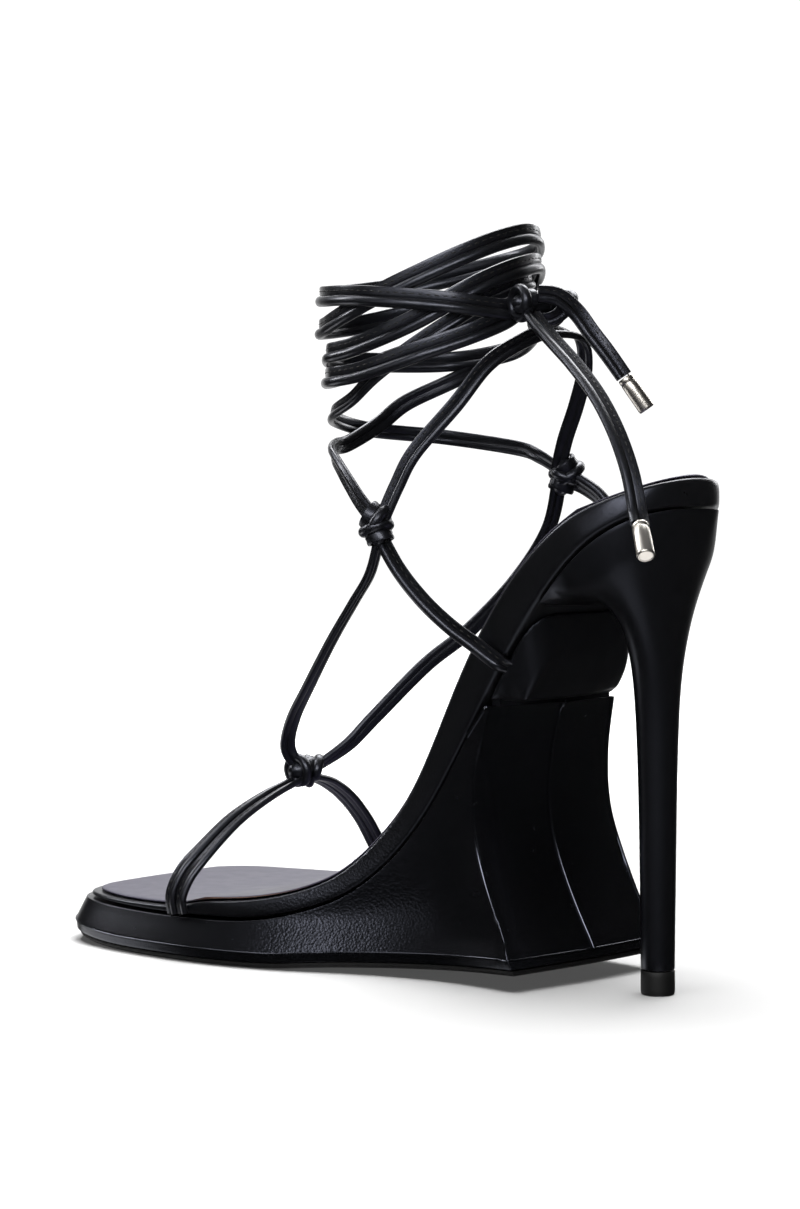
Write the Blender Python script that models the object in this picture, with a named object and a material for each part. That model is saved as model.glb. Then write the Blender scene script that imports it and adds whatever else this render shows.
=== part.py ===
"""Lace-up sandal on a platform wedge with a stiletto heel, as an assembly of closed solids.

The frame is metres, +X to the toe, +Y to the big-toe side, +Z up, with the origin on the floor
under the ball of the foot. Sizes below are in millimetres and become metres in one place, solid().
"""
import math

import bmesh
import bpy
from mathutils import Vector

for old in list(bpy.data.objects):
    bpy.data.objects.remove(old, do_unlink=True)

MM = 0.001
GAP = 0.3                  # air between neighbouring pieces
SEAT_GAP = 0.42            # air under the curved footbed
OUTSOLE_THICK = 1.6
OUTSOLE_INSET = 1.0        # the outsole stands in from the platform, which leaves a groove
SOCK_THICK = 0.8
SOCK_INSET = 2.0           # the sock stands in from the footbed's edge
SOCK_BEVEL = 0.6           # how far the sock's upper edge slants in
BAND_ROUND = 1.4           # rounding of the footbed's upper edge
BAND_BEVEL = 0.5           # bevel of the footbed's lower edge
LEDGE_Z = 74.0             # height of the wedge's top edge at its back
RIDGE_Y = -5.0             # the ridge down the middle of the wedge's back
BACK_SKEW = 0.15           # the wedge's back turns with the heel's axis
HEEL_UPRIGHT = -108.0      # behind this the footbed's edge turns upright
UPRIGHT_RUN = 10.0         # length along which it turns
STATION_SPACING = 9.0      # rows of the plan further apart than this get a station between them
BACK_HALF = 25.0           # half width of the wedge's back, from its ridge to an edge
WEDGE_START = -20.0        # behind this the wedge's sections lean towards its back face
HEEL_INSET = 0.6           # the heel's seat stands in from the footbed's edge
HEEL_TIP_TALL = 6.3
HEEL_TIP_RADIUS = 4.6
STRAP_STEP = 5.5           # length of one swept piece of strap
ANKLE_X, ANKLE_Y = -31.0, -2.0
ANKLE_LONG, ANKLE_WIDE = 30.0, 26.5   # half sizes of the ring that the wraps go round
AGLET_LONG, AGLET_RADIUS = 10.5, 2.3
TIE_SCALE = 0.8            # the loose ends are narrower than the straps
SLIM_SCALE = 0.72          # single strands between two knots are drawn narrower
KNOT_TURNS, KNOT_GROOVE = 3.0, 0.09   # turns of strap that show on a knot, depth between them
KNOT_TILT = 0.18           # how far each turn leans, as a share of a turn
KNOT_ROWS, KNOT_SIDES = 11, 14
CURVE_STEPS = 12           # fine steps between two rows of a strap's route
TIP_SIDES, AGLET_SIDES = 20, 16
WEDGE_STEPS = 11           # stations of the sole behind the ball
TREAD_BEVEL = 0.6          # bevel of the outsole's lower edge
PLAN_REACH = 1.5           # reach to each side for the direction of the plan's edge
TOE_TURN = 0.8             # how far that direction turns aside at the toe's corners
HEEL_SIDES = 9             # pieces along each side of a heel section
KEEL_CLEAR = 1.3           # slot between the keel and the wedge's top
KEEL_LIP = 1.2             # height of the keel along its own edge
KEEL_FULLNESS = 16         # how squarely the keel drops from its edge: even, and higher is squarer
KEEL_COLUMNS = (1.0, 0.85, 0.5, 0.0, -0.5, -0.9, -1.0)

# Footbed, from toe to heel: place along the shoe, height of its underside, thickness at its edge,
# how far its middle is dished. Behind the toe straps its edge stands up as a band.
FOOTBED = [
    (71, 13.0, 1.4, 0.0), (50, 12.2, 1.7, 0.0), (30, 12.0, 2.2, 0.1), (24, 12.0, 2.7, 0.5),
    (17, 12.1, 4.6, 1.8), (6, 12.3, 5.2, 1.9), (-4, 13.1, 5.6, 1.6), (-16, 16.3, 5.6, 1.1),
    (-27, 21.3, 6.3, 0.7), (-38, 30.6, 7.2, 0.3), (-48, 42.8, 7.6, 0.1), (-57, 57.0, 9.0, 0.0),
    (-65, 70.0, 10.4, 0.0), (-74, 84.0, 11.0, 0.0), (-85, 98.2, 11.0, 0.0),
    (-97, 111.1, 9.9, 0.0), (-109, 120.5, 8.4, 0.0), (-119, 125.7, 7.4, 0.0),
    (-125, 126.9, 7.7, 0.0),
]
# Plan of the footbed: place along the shoe, half width on the big-toe side, on the other side.
OUTLINE = [
    (71.0, 24.0, 15.0), (70.4, 28.5, 20.0), (68.8, 32.5, 25.0), (66, 35.8, 29.0), (61, 38.5, 32.6),
    (54, 40.2, 35.4), (42, 41.6, 38.5), (25, 42.0, 41.0), (8, 40.5, 42.0), (-8, 36.0, 41.0),
    (-20, 30.5, 38.5), (-30, 26.5, 36.0), (-40, 23.0, 33.5), (-50, 20.8, 31.6), (-60, 20.0, 30.3),
    (-72, 20.8, 29.2), (-85, 22.8, 28.2), (-97, 24.4, 26.6), (-107, 24.4, 24.6),
    (-114, 21.5, 20.5), (-119.5, 16.0, 15.0), (-123, 9.5, 9.0), (-124.4, 4.0, 4.0),
]
# Underside of the outsole: place along the shoe, height over the floor. It is flat under the ball.
GROUND = [
    (80, 3.0), (66, 1.3), (52, 0.3), (42, 0.0), (20, 0.0), (-8, 0.0), (-16, 0.7), (-25, 1.3),
    (-40, 2.1), (-55, 2.9), (-70, 3.7), (-95, 4.9),
]
# Side of the platform: height over its own underside, how far it stands out from the footbed.
FLARE = [(0, 4.5), (2.5, 4.8), (5, 3.6), (8, 2.1), (12, 0.5), (20, 0.1), (90, 0.0)]
# How much of that is left along the wedge: place along the shoe, share.
FLARE_SHARE = [(-35, 1.0), (-45, 0.97), (-65, 0.8), (-80, 0.65), (-90, 0.6)]
LOW_LEVELS = (0.0, 2.5, 5.0, 8.0)
HIGH_LEVELS = (0.25, 0.5, 0.75, 1.0)
# Back of the wedge: height, place of its ridge along the shoe, and how far its inner and its outer
# edge stand before the ridge.
BACK = [
    (2, -88.2, 0.6, 3.0), (8.5, -86.4, 1.4, 2.4), (22, -78.6, 2.9, 0.4), (37, -72.6, 3.0, 1.0),
    (48, -70.6, 2.8, 2.0), (58, -71.6, 2.6, 3.2), (66, -73.6, 2.8, 4.1), (76, -77.4, 3.2, 6.6),
]
# Keel under the arch: place along the shoe, how far its middle hangs below the footbed, how far it
# stands in from the footbed's edge. It is rounded off towards the heel.
KEEL = [
    (-69, 0.4, 1.2), (-73, 7.8, 1.2), (-77, 13.6, 1.2), (-80, 15.2, 1.2), (-82, 14.4, 1.6),
    (-84, 13.0, 2.9), (-85.5, 11.2, 5.4), (-86.4, 9.6, 9.0),
]
KEEL_PLACES = (-69.0, -71.5, -74.0, -77.0, -79.5, -82.0, -84.0, -85.5, -86.4)
# Heel sections: front along and height, back along and height, half width, squareness of the side.
HEEL = [
    (-105.5, 6.6, -114.5, 6.6, 4.5, 1.0), (-105.3, 30, -114.8, 30, 4.8, 1.0),
    (-105.0, 46, -115.0, 46, 5.0, 1.0), (-104.6, 62, -115.3, 62, 5.4, 1.0),
    (-104.2, 75, -115.6, 75, 6.1, 0.95), (-103.9, 85, -116.0, 84, 7.6, 0.85),
    (-103.3, 92.5, -116.5, 91.5, 10.0, 0.75), (-102.0, 98, -117.2, 99, 13.2, 0.65),
    (-99.6, 101.2, -118.4, 106, 16.8, 0.55), (-96.0, 102.2, -120.2, 112.5, 20.0, 0.45),
    (-91.5, 101.4, -122.2, 118, 22.4, 0.4),
]
HEEL_SEAT = (-87.2, -123.4)    # where the heel's seat meets the footbed, front and back

# Strap section: across the strap, out of its face. A bead runs along one edge of a flat flange.
STRAP = [
    (-3.1, -0.8), (-3.1, 0.8), (-0.2, 0.8), (0.5, 1.7), (2.1, 1.9), (3.1, 0.8), (3.1, -0.4),
    (2.4, -0.8),
]
DOUBLE_STRAP = [
    (-4.0, -0.8), (-4.0, 0.9), (-2.8, 1.7), (-1.2, 1.7), (-0.4, 0.8), (0.5, 0.8), (1.3, 1.7),
    (3.1, 1.9), (4.0, 0.8), (4.0, -0.8),
]
# Straps of the foot: along, to the big-toe side, up. Each has a line inside the foot to face from.
TOE_LINE = ((40, 0, 20), (-10, 0, 24))
INSTEP_LINE = ((15, 0, 28), (-60, -2, 100))
SIDE_LINE = ((-40, -1, 122), (-85, -2, 82))
TOE_INNER = [
    (22.5, 43.4, 12.7), (22.8, 43.9, 17.5), (21.6, 41.6, 23.5), (19.8, 36.8, 29.0),
    (17.4, 26.0, 37.8), (14.8, 14.0, 44.2), (12.5, 3.5, 48.0),
]
TOE_OUTER = [
    (12.0, 1.5, 48.0), (12.5, -7.0, 46.0), (14.5, -17.5, 41.0), (17.5, -28.5, 33.5),
    (19.8, -37.0, 25.5), (20.6, -42.8, 18.0), (20.6, -42.9, 12.7),
]
INSTEP_INNER = [
    (12.5, 4.0, 50.5), (13.5, 9.0, 57.0), (7.0, 14.0, 66.0), (-5.0, 20.0, 77.0),
    (-18.0, 25.0, 90.0), (-28.5, 28.0, 100.5), (-36.0, 29.5, 109.0), (-39.5, 29.5, 120.0),
]
INSTEP_OUTER = [
    (10.5, 0.0, 50.0), (4.0, -9.0, 55.8), (-1.5, -15.0, 63.0), (-13.5, -24.0, 78.3),
    (-25.0, -29.5, 89.0), (-38.0, -33.0, 104.0), (-50.0, -33.5, 119.5), (-55.5, -31.5, 134.0),
]
SIDE_INNER = [
    (-39.5, 29.5, 121.0), (-47.5, 30.0, 110.5), (-55.0, 28.8, 102.3), (-62.0, 26.4, 95.8),
    (-68.3, 23.8, 91.0), (-72.6, 22.7, 88.0), (-75.6, 22.6, 85.6),
]
SIDE_OUTER = [
    (-55.5, -31.5, 134.5), (-62.0, -32.2, 132.0), (-68.5, -33.0, 127.0), (-74.0, -33.0, 117.0),
    (-77.0, -31.8, 104.5), (-77.5, -30.6, 96.0), (-77.5, -30.4, 90.0),
]
# Lacing round the ankle: angle from the toe through the big-toe side, height, distance outward.
FRONT_INNER = [
    (103, 122, 5.5), (93, 127.5, 4.2), (83, 132.5, 2.6), (70, 137.2, 0.8), (52, 141, -0.8),
    (25, 143.2, -2), (5, 144.5, -2.2),
    (-23, 150, -0.5), (-41, 156.5, 0.5), (-70, 163.5, 1.5), (-100, 170.5, 1.5), (-128, 174, 1),
    (-158, 177, 0.5),
]
BACK_LOOP = [
    (106, 123.5, 6), (112, 132, 5.2), (120, 141, 4.6), (139, 153.7, 4.2), (155, 164.5, 4),
    (173, 170.7, 5), (190, 174, 8), (205, 172.5, 13.5), (214, 165, 14.5), (220, 155, 12.5),
    (227, 145, 10), (233, 136, 9),
]
FRONT_OUTER = [
    (233, 137, 9), (243, 140.5, 6), (258, 143, 4.6), (299, 146.4, 4), (339, 148.4, 2),
    (372, 150.6, -0.6), (408, 152.3, -1.2), (439, 156, -0.2), (456, 162, 0.3), (475, 168.8, 0.2),
    (500, 177, 0), (525, 184, 0), (560, 188.5, 0.3), (585, 190, 0.5),
]
UPPER_WRAP = [
    (205, 189, 1.4), (250, 188, 0.8), (300, 184, 0.6), (345, 179, 0.8), (390, 176.2, 1.2),
    (415, 176.4, 1.6), (440, 179.6, 1.8), (462, 184.4, 1.8), (482, 189, 1.8), (503, 194, 1.8),
    (524, 198.2, 1.8), (547, 200.8, 1.8), (570, 200.4, 1.8), (590, 199.4, 1.8),
]
TOP_WRAP = [
    (216, 199, 3), (240, 197.8, 3), (270, 195.5, 2.6), (315, 190.5, 2.0), (370, 186.4, 1.2),
    (410, 184.8, 1.8), (450, 183.6, 3.6), (492, 181.5, 3.9), (520, 179.8, 3.6), (532, 179.5, 3.4),
]
MIDDLE_WRAP = [
    (262, 169.5, 0.9), (300, 168, 1.0), (360, 168, 1.2), (415, 168.6, 1.0), (439, 169.7, 1.0),
    (461, 172.8, 1.0), (481, 177.2, 1.2), (497, 182, 1.4), (517, 187.4, 1.6), (540, 191.5, 1.8),
    (574, 193.4, 2.0), (598, 191.5, 2.2),
]
LOWER_WRAP = [
    (222, 192.0, 3.4), (250, 188, 3.2), (300, 175, 3.0), (360, 164, 2.0), (422, 162, 2.2),
    (450, 163, 3.0), (481, 168, 3.2), (506, 172.7, 3.2), (524, 176.5, 3.2), (533, 179, 3.2),
]
# Knots of the straps: centre, axis, half length, radius.
KNOTS = [
    ((12.0, 2.4, 50.3), (0.2, 1.0, 0.0), 5.2, 5.0),
    ((-39.5, 30.2, 121.5), (0.25, 0.0, 1.0), 5.6, 4.8),
    ((-55.8, -31.8, 135.0), (-0.3, 0.0, 1.0), 5.6, 4.8),
]
TIE_KNOT = ((-70.8, 0.2, 180.6), (0.35, 1.0, 0.12), 8.6, 4.9)
# Loose ends behind the ankle, from the knot to the metal tip.
TIE_LINE = ((-50, -12, 185), (-100, -6, 105))
TIE_LONG = [
    (-72.9, 5.4, 177.8), (-77.6, 7.6, 174.2), (-84.4, 10.0, 169.4), (-93.2, 13.2, 163.2),
    (-103.5, 17.5, 155.0), (-112.5, 21.8, 145.5), (-119.0, 25.0, 135.5), (-122.8, 27.2, 126.2),
    (-125.3, 29.5, 122.5),
]
TIE_SHORT = [
    (-74.2, 4.4, 183.4), (-77.4, 0.2, 182.8), (-80.4, -4.2, 178.8), (-83.6, -6.8, 173.2),
    (-87.0, -9.2, 167.8), (-90.6, -12.0, 161.3),
]


def smooth(rows, column, at):
    """Value of a table's column at a place, along a smooth curve through its rows."""
    if rows[0][0] > rows[-1][0]:
        rows = rows[::-1]
    at = min(max(at, rows[0][0]), rows[-1][0])
    i = 0
    while i < len(rows) - 2 and at > rows[i + 1][0]:
        i += 1

    def slope(j):
        before, after = rows[max(j - 1, 0)], rows[min(j + 1, len(rows) - 1)]
        return (after[column] - before[column]) / (after[0] - before[0])

    low, high = rows[i], rows[i + 1]
    width = high[0] - low[0]
    t = (at - low[0]) / width
    return ((2 * t**3 - 3 * t**2 + 1) * low[column] + (t**3 - 2 * t**2 + t) * width * slope(i)
            + (3 * t**2 - 2 * t**3) * high[column] + (t**3 - t**2) * width * slope(i + 1))


def material(name, colour, roughness, metallic=0.0):
    made = bpy.data.materials.new(name)
    made.use_nodes = True
    shader = made.node_tree.nodes["Principled BSDF"]
    shader.inputs["Base Color"].default_value = (*colour, 1.0)
    shader.inputs["Roughness"].default_value = roughness
    shader.inputs["Metallic"].default_value = metallic
    return made


def solid(name, points, faces, finish):
    """A closed object from points in millimetres and faces of their numbers, facing out."""
    form = bmesh.new()
    corners = [form.verts.new(Vector(p) * MM) for p in points]
    for face in faces:
        form.faces.new([corners[i] for i in face])
    bmesh.ops.recalc_face_normals(form, faces=form.faces)
    mesh = bpy.data.meshes.new(name)
    form.to_mesh(mesh)
    form.free()
    mesh.materials.append(finish)
    made = bpy.data.objects.new(name, mesh)
    bpy.context.scene.collection.objects.link(made)
    return made


def block(name, lattice, finish):
    """The skin of a lattice of points, indexed by station, level and column."""
    stations, levels, columns = len(lattice), len(lattice[0]), len(lattice[0][0])
    numbers, points, faces = {}, [], []

    def corner(i, k, c):
        if (i, k, c) not in numbers:
            numbers[i, k, c] = len(points)
            points.append(lattice[i][k][c])
        return numbers[i, k, c]

    for i in (0, stations - 1):
        for k in range(levels - 1):
            for c in range(columns - 1):
                faces.append([corner(i, k, c), corner(i, k + 1, c), corner(i, k + 1, c + 1),
                              corner(i, k, c + 1)])
    for k in (0, levels - 1):
        for i in range(stations - 1):
            for c in range(columns - 1):
                faces.append([corner(i, k, c), corner(i + 1, k, c), corner(i + 1, k, c + 1),
                              corner(i, k, c + 1)])
    for c in (0, columns - 1):
        for i in range(stations - 1):
            for k in range(levels - 1):
                faces.append([corner(i, k, c), corner(i + 1, k, c), corner(i + 1, k + 1, c),
                              corner(i, k + 1, c)])
    return solid(name, points, faces, finish)


def tube(name, rings, finish):
    """A closed tube through rings of equal count, with flat ends."""
    count = len(rings[0])
    points = [p for ring in rings for p in ring]
    faces = [list(range(count)), list(range(len(points) - count, len(points)))]
    for i in range(len(rings) - 1):
        for j in range(count):
            k = (j + 1) % count
            faces.append([i * count + j, i * count + k, (i + 1) * count + k, (i + 1) * count + j])
    return solid(name, points, faces, finish)


LEATHER = material("black_leather", (0.012, 0.012, 0.013), 0.42)
STRAP_LEATHER = material("strap_leather", (0.010, 0.010, 0.011), 0.34)
RUBBER = material("moulded_rubber", (0.020, 0.020, 0.021), 0.62)
SOCK = material("sock_leather", (0.030, 0.029, 0.033), 0.45)
TIP_RUBBER = material("tip_rubber", (0.010, 0.010, 0.010), 0.55)
METAL = material("polished_metal", (0.72, 0.69, 0.64), 0.22, 1.0)

# Stations of the footbed: the rows of its plan, with one more between rows that lie far apart.
places = []
for row, following in zip(OUTLINE, OUTLINE[1:]):
    places.append(row[0])
    if row[0] - following[0] > STATION_SPACING:
        places.append((row[0] + following[0]) / 2)
places.append(OUTLINE[-1][0])
under = [(x, smooth(FOOTBED, 1, x)) for x in places]


def underside(x):
    """Height of the footbed's underside, along its straight pieces, and the slope there."""
    i = 0
    while i < len(under) - 2 and x < under[i + 1][0]:
        i += 1
    (x1, z1), (x2, z2) = under[i], under[i + 1]
    slope = (z2 - z1) / (x2 - x1)
    return z1 + slope * (x - x1), slope


def below_footbed(x):
    """Height just under the footbed, one gap away."""
    z, slope = underside(x)
    return z - SEAT_GAP * math.hypot(1.0, slope)


def plate(name, levels, finish):
    """A plate along the footbed. Each level gives its height and inset at a station's thickness."""
    lattice = []
    for n, x in enumerate(places):
        before, after = under[max(n - 1, 0)], under[min(n + 1, len(under) - 1)]
        run = Vector((after[0] - before[0], 0.0, after[1] - before[1])).normalized()
        up = Vector((run.z, 0.0, -run.x))
        up.x *= 1.0 - min(max((HEEL_UPRIGHT - x) / UPRIGHT_RUN, 0.0), 1.0)
        base = Vector((x, 0.0, under[n][1]))
        inner, outer = smooth(OUTLINE, 1, x), smooth(OUTLINE, 2, x)
        thick, dish = smooth(FOOTBED, 2, x), smooth(FOOTBED, 3, x)
        end = (2 * x - places[0] - places[-1]) / (places[0] - places[-1])
        station = []
        for height, inset in levels(thick):
            middle = base + up * height + run * (end * inset)
            sunk = up * dish * min(height / thick, 1.0)
            station.append([middle + Vector((0.0, inner - inset, 0.0)),
                            middle + Vector((0.0, (inner - outer) / 2, 0.0)) - sunk,
                            middle - Vector((0.0, outer - inset, 0.0))])
        lattice.append(station)
    return block(name, lattice, finish)


def footbed_levels(thick):
    r = min(BAND_ROUND, thick * 0.45)
    return [(0.0, BAND_BEVEL), (BAND_BEVEL, 0.0), (thick - r, 0.0), (thick - 0.3 * r, 0.3 * r),
            (thick, r)]


def sock_levels(thick):
    low = thick + GAP
    return [(low, SOCK_INSET), (low + SOCK_THICK * 0.5, SOCK_INSET),
            (low + SOCK_THICK, SOCK_INSET + SOCK_BEVEL)]


plate("footbed", footbed_levels, LEATHER)
plate("insole", sock_levels, SOCK)


def back_face(y, z):
    """Place along the shoe of the wedge's back: concave in height, a ridge in the middle."""
    aside = y - RIDGE_Y
    before = smooth(BACK, 2 if aside > 0 else 3, z)
    return smooth(BACK, 1, z) + BACK_SKEW * aside + before * abs(aside) / BACK_HALF


def plan_edge(x, side):
    """A point of the footbed's plan on one side and the direction straight out from it."""
    column = 1 if side > 0 else 2
    ahead, behind = min(x + PLAN_REACH, OUTLINE[0][0]), max(x - PLAN_REACH, OUTLINE[-1][0])
    if x > OUTLINE[1][0]:
        out = Vector((1.0, TOE_TURN * side, 0.0))
    else:
        rise = smooth(OUTLINE, column, behind) - smooth(OUTLINE, column, ahead)
        out = Vector((rise, side * (ahead - behind), 0.0))
    return Vector((x, side * smooth(OUTLINE, column, x), 0.0)), out.normalized()


def ground(x):
    """Height of the outsole's underside, exactly flat under the ball."""
    return max(smooth(GROUND, 1, x), 0.0)


def sole_point(x, column, lift, share, low, inset=0.0):
    """A point of the sole at a station, in a column: big-toe side, middle or outer side.

    low is the height of the layer's foot over the ground, lift a height over that foot, share a
    part of the layer's own height instead of it, and inset how far the point stands in.
    """
    front = x >= OUTLINE[0][0]
    lean = 0.0
    if x < WEDGE_START:
        lean = (WEDGE_START - x) / (WEDGE_START - wedge_end)
    edge, out = plan_edge(x, 1 - column) if column != 1 else (None, None)
    px, py, pz = x, RIDGE_Y, low
    for _ in range(6):
        foot = ground(px) + low
        tall = min(below_footbed(px), LEDGE_Z) - foot
        height = lift if share is None else LOW_LEVELS[-1] + share * (tall - LOW_LEVELS[-1])
        pz = foot + height
        stand_out = smooth(FLARE, 1, height) * smooth(FLARE_SHARE, 1, px) - inset
        if lean:
            px = WEDGE_START + lean * (back_face(py, pz) + inset - WEDGE_START)
            if column != 1:
                side = 1 - column
                py = side * (smooth(OUTLINE, 1 if side > 0 else 2, px) + stand_out)
        elif column == 1:
            px = x + (stand_out if front else 0.0)
        else:
            px = edge.x + out.x * stand_out
            py = edge.y + out.y * stand_out
    return Vector((px, py, pz))


# Stations of the sole: those of the footbed to the ball, then even steps to the wedge's back.
wedge_end = back_face(RIDGE_Y, LEDGE_Z)
sole_places = [x for x in places if x >= WEDGE_START]
for n in range(1, WEDGE_STEPS + 1):
    sole_places.append(WEDGE_START + (wedge_end - WEDGE_START) * n / WEDGE_STEPS)
wedge_foot = OUTSOLE_THICK + GAP
wedge = []
for x in sole_places:
    rows = [[sole_point(x, c, lift, None, wedge_foot) for c in (0, 1, 2)] for lift in LOW_LEVELS]
    rows += [[sole_point(x, c, 0.0, s, wedge_foot) for c in (0, 1, 2)] for s in HIGH_LEVELS]
    wedge.append(rows)
block("platform_wedge", wedge, RUBBER)

outsole = []
for x in sole_places:
    station = []
    for height, inset in ((0.0, TREAD_BEVEL), (TREAD_BEVEL, 0.0), (OUTSOLE_THICK, 0.0)):
        station.append([sole_point(x, c, 0.0, None, height, OUTSOLE_INSET + inset)
                        for c in (0, 1, 2)])
    outsole.append(station)
block("outsole", outsole, RUBBER)

# Keel under the arch: a slot above the wedge's ledge in front, rounded off towards the heel.
keel = []
for x in KEEL_PLACES:
    hang, inset = smooth(KEEL, 1, x), smooth(KEEL, 2, x)
    inner = smooth(OUTLINE, 1, x) - inset
    outer = smooth(OUTLINE, 2, x) - inset
    top, bottom = [], []
    for across in KEEL_COLUMNS:
        y = (inner - outer) / 2 + across * (inner + outer) / 2
        ceiling = below_footbed(x)
        floor = ceiling - KEEL_LIP - hang * (1.0 - across**KEEL_FULLNESS)
        top.append(Vector((x, y, ceiling)))
        bottom.append(Vector((x, y, max(floor, min(LEDGE_Z + KEEL_CLEAR, ceiling - KEEL_LIP / 2)))))
    keel.append([bottom, top])
block("waist_cover", keel, LEATHER)

# Heel: sections from the stem's foot to the seat, each with matching points on its two sides.
turns = [math.pi * (j + 0.5) / (HEEL_SIDES + 1) for j in range(HEEL_SIDES + 1)]
rings = []
for front_x, front_z, back_x, back_z, half, square in HEEL:
    left, right = [], []
    for turn in turns:
        part = (1.0 - math.cos(turn)) / 2
        x = front_x + (back_x - front_x) * part
        z = front_z + (back_z - front_z) * part
        wide = half * math.sin(turn) ** (square if turn < math.pi / 2 else 1.0)
        left.append(Vector((x, wide, z)))
        right.append(Vector((x, -wide, z)))
    rings.append(left + right[::-1])
left, right = [], []
for turn in turns:
    x = HEEL_SEAT[0] + (HEEL_SEAT[1] - HEEL_SEAT[0]) * (1.0 - math.cos(turn)) / 2
    left.append(Vector((x, smooth(OUTLINE, 1, x) - HEEL_INSET, below_footbed(x))))
    right.append(Vector((x, HEEL_INSET - smooth(OUTLINE, 2, x), below_footbed(x))))
rings.append(left + right[::-1])
count = len(rings[0])
points = [p for ring in rings for p in ring]
faces = []
for i in range(len(rings) - 1):
    for j in range(count):
        k = (j + 1) % count
        faces.append([i * count + j, i * count + k, (i + 1) * count + k, (i + 1) * count + j])
for start in (0, len(points) - count):
    for j in range(HEEL_SIDES):
        faces.append([start + j, start + j + 1, start + count - 2 - j, start + count - 1 - j])
solid("heel", points, faces, LEATHER)


def lathe(name, centre, axis, rows, sides, finish):
    """A turned solid: rows give the distance along the axis and the radius."""
    axis = Vector(axis).normalized()
    aside = axis.orthogonal().normalized()
    other = axis.cross(aside)
    rings = []
    for along, radius in rows:
        middle = Vector(centre) + axis * along
        rings.append([middle + (aside * math.cos(a) + other * math.sin(a)) * radius
                      for a in (2 * math.pi * j / sides for j in range(sides))])
    return tube(name, rings, finish)


tip_x = (HEEL[0][0] + HEEL[0][2]) / 2
lathe("heel_tip", (tip_x, 0, 0), (0, 0, 1),
      [(0.0, HEEL_TIP_RADIUS - 0.4), (0.5, HEEL_TIP_RADIUS), (HEEL_TIP_TALL, HEEL_TIP_RADIUS - 0.1)],
      TIP_SIDES, TIP_RUBBER)


def route(rows):
    """Evenly spaced points along a smooth curve through the rows."""
    knots = [Vector(r) for r in rows]
    fine = []
    for i in range(len(knots) - 1):
        a, b = knots[max(i - 1, 0)], knots[i]
        c, d = knots[i + 1], knots[min(i + 2, len(knots) - 1)]
        for n in range(CURVE_STEPS):
            t = n / CURVE_STEPS
            fine.append(0.5 * (2 * b + (c - a) * t + (2 * a - 5 * b + 4 * c - d) * t**2
                               + (3 * b - a - 3 * c + d) * t**3))
    fine.append(knots[-1])
    length = sum((q - p).length for p, q in zip(fine, fine[1:]))
    steps = max(2, round(length / STRAP_STEP))
    even, walked, target = [fine[0]], 0.0, length / steps
    for p, q in zip(fine, fine[1:]):
        reach = (q - p).length
        while walked + reach >= target - 1e-9 and len(even) < steps:
            even.append(p.lerp(q, (target - walked) / reach))
            target += length / steps
        walked += reach
    even.append(fine[-1])
    return even


def strap(name, rows, line, section, finish):
    """A strap swept along rows, its face turned away from a line inside the foot."""
    path = route(rows)
    start, stop = Vector(line[0]), Vector(line[1])
    along = (stop - start).normalized()
    rings = []
    for i, p in enumerate(path):
        run = (path[min(i + 1, len(path) - 1)] - path[max(i - 1, 0)]).normalized()
        reach = min(max((p - start).dot(along), 0.0), (stop - start).length)
        out = p - (start + along * reach)
        out = (out - run * out.dot(run)).normalized()
        across = run.cross(out)
        rings.append([p + across * u + out * w for u, w in section])
    return tube(name, rings, finish)


def round_ankle(rows):
    """Points of the lacing from angles round the ankle, heights and distances outward."""
    found = []
    for degrees, height, outward in rows:
        a = math.radians(degrees)
        found.append((ANKLE_X + (ANKLE_LONG + outward) * math.cos(a),
                      ANKLE_Y + (ANKLE_WIDE + outward) * math.sin(a), height))
    return found


def knot(name, centre, axis, half, radius, finish):
    """A knot: a rounded lump whose surface swells in tilted turns of strap."""
    axis = Vector(axis).normalized()
    aside = axis.orthogonal().normalized()
    other = axis.cross(aside)
    rings, reach_end = [], 0.97
    for i in range(KNOT_ROWS):
        share = reach_end * (2 * i / (KNOT_ROWS - 1) - 1)
        ring = []
        for j in range(KNOT_SIDES):
            a = 2 * math.pi * (j + 0.3) / KNOT_SIDES
            turn = math.cos(2 * math.pi * (KNOT_TURNS * share / 2 + KNOT_TILT * math.cos(a)))
            reach = radius * (1.0 - share**2) ** 0.4 * (1.0 - KNOT_GROOVE + KNOT_GROOVE * turn)
            ring.append(Vector(centre) + axis * (half * share)
                        + (aside * math.cos(a) + other * math.sin(a)) * reach)
        rings.append(ring)
    return tube(name, rings, finish)


def join(pieces):
    """One closed solid from pieces that overlap. The first piece keeps its name."""
    base = pieces[0]
    for other in pieces[1:]:
        cut = base.modifiers.new("join", "BOOLEAN")
        cut.operation = "UNION"
        cut.solver = "EXACT"
        cut.object = other
        bpy.context.view_layer.update()
        found = base.evaluated_get(bpy.context.evaluated_depsgraph_get())
        mesh = bpy.data.meshes.new_from_object(found)
        base.modifiers.clear()
        base.data = mesh
        bpy.data.objects.remove(other, do_unlink=True)
    return base


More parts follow.
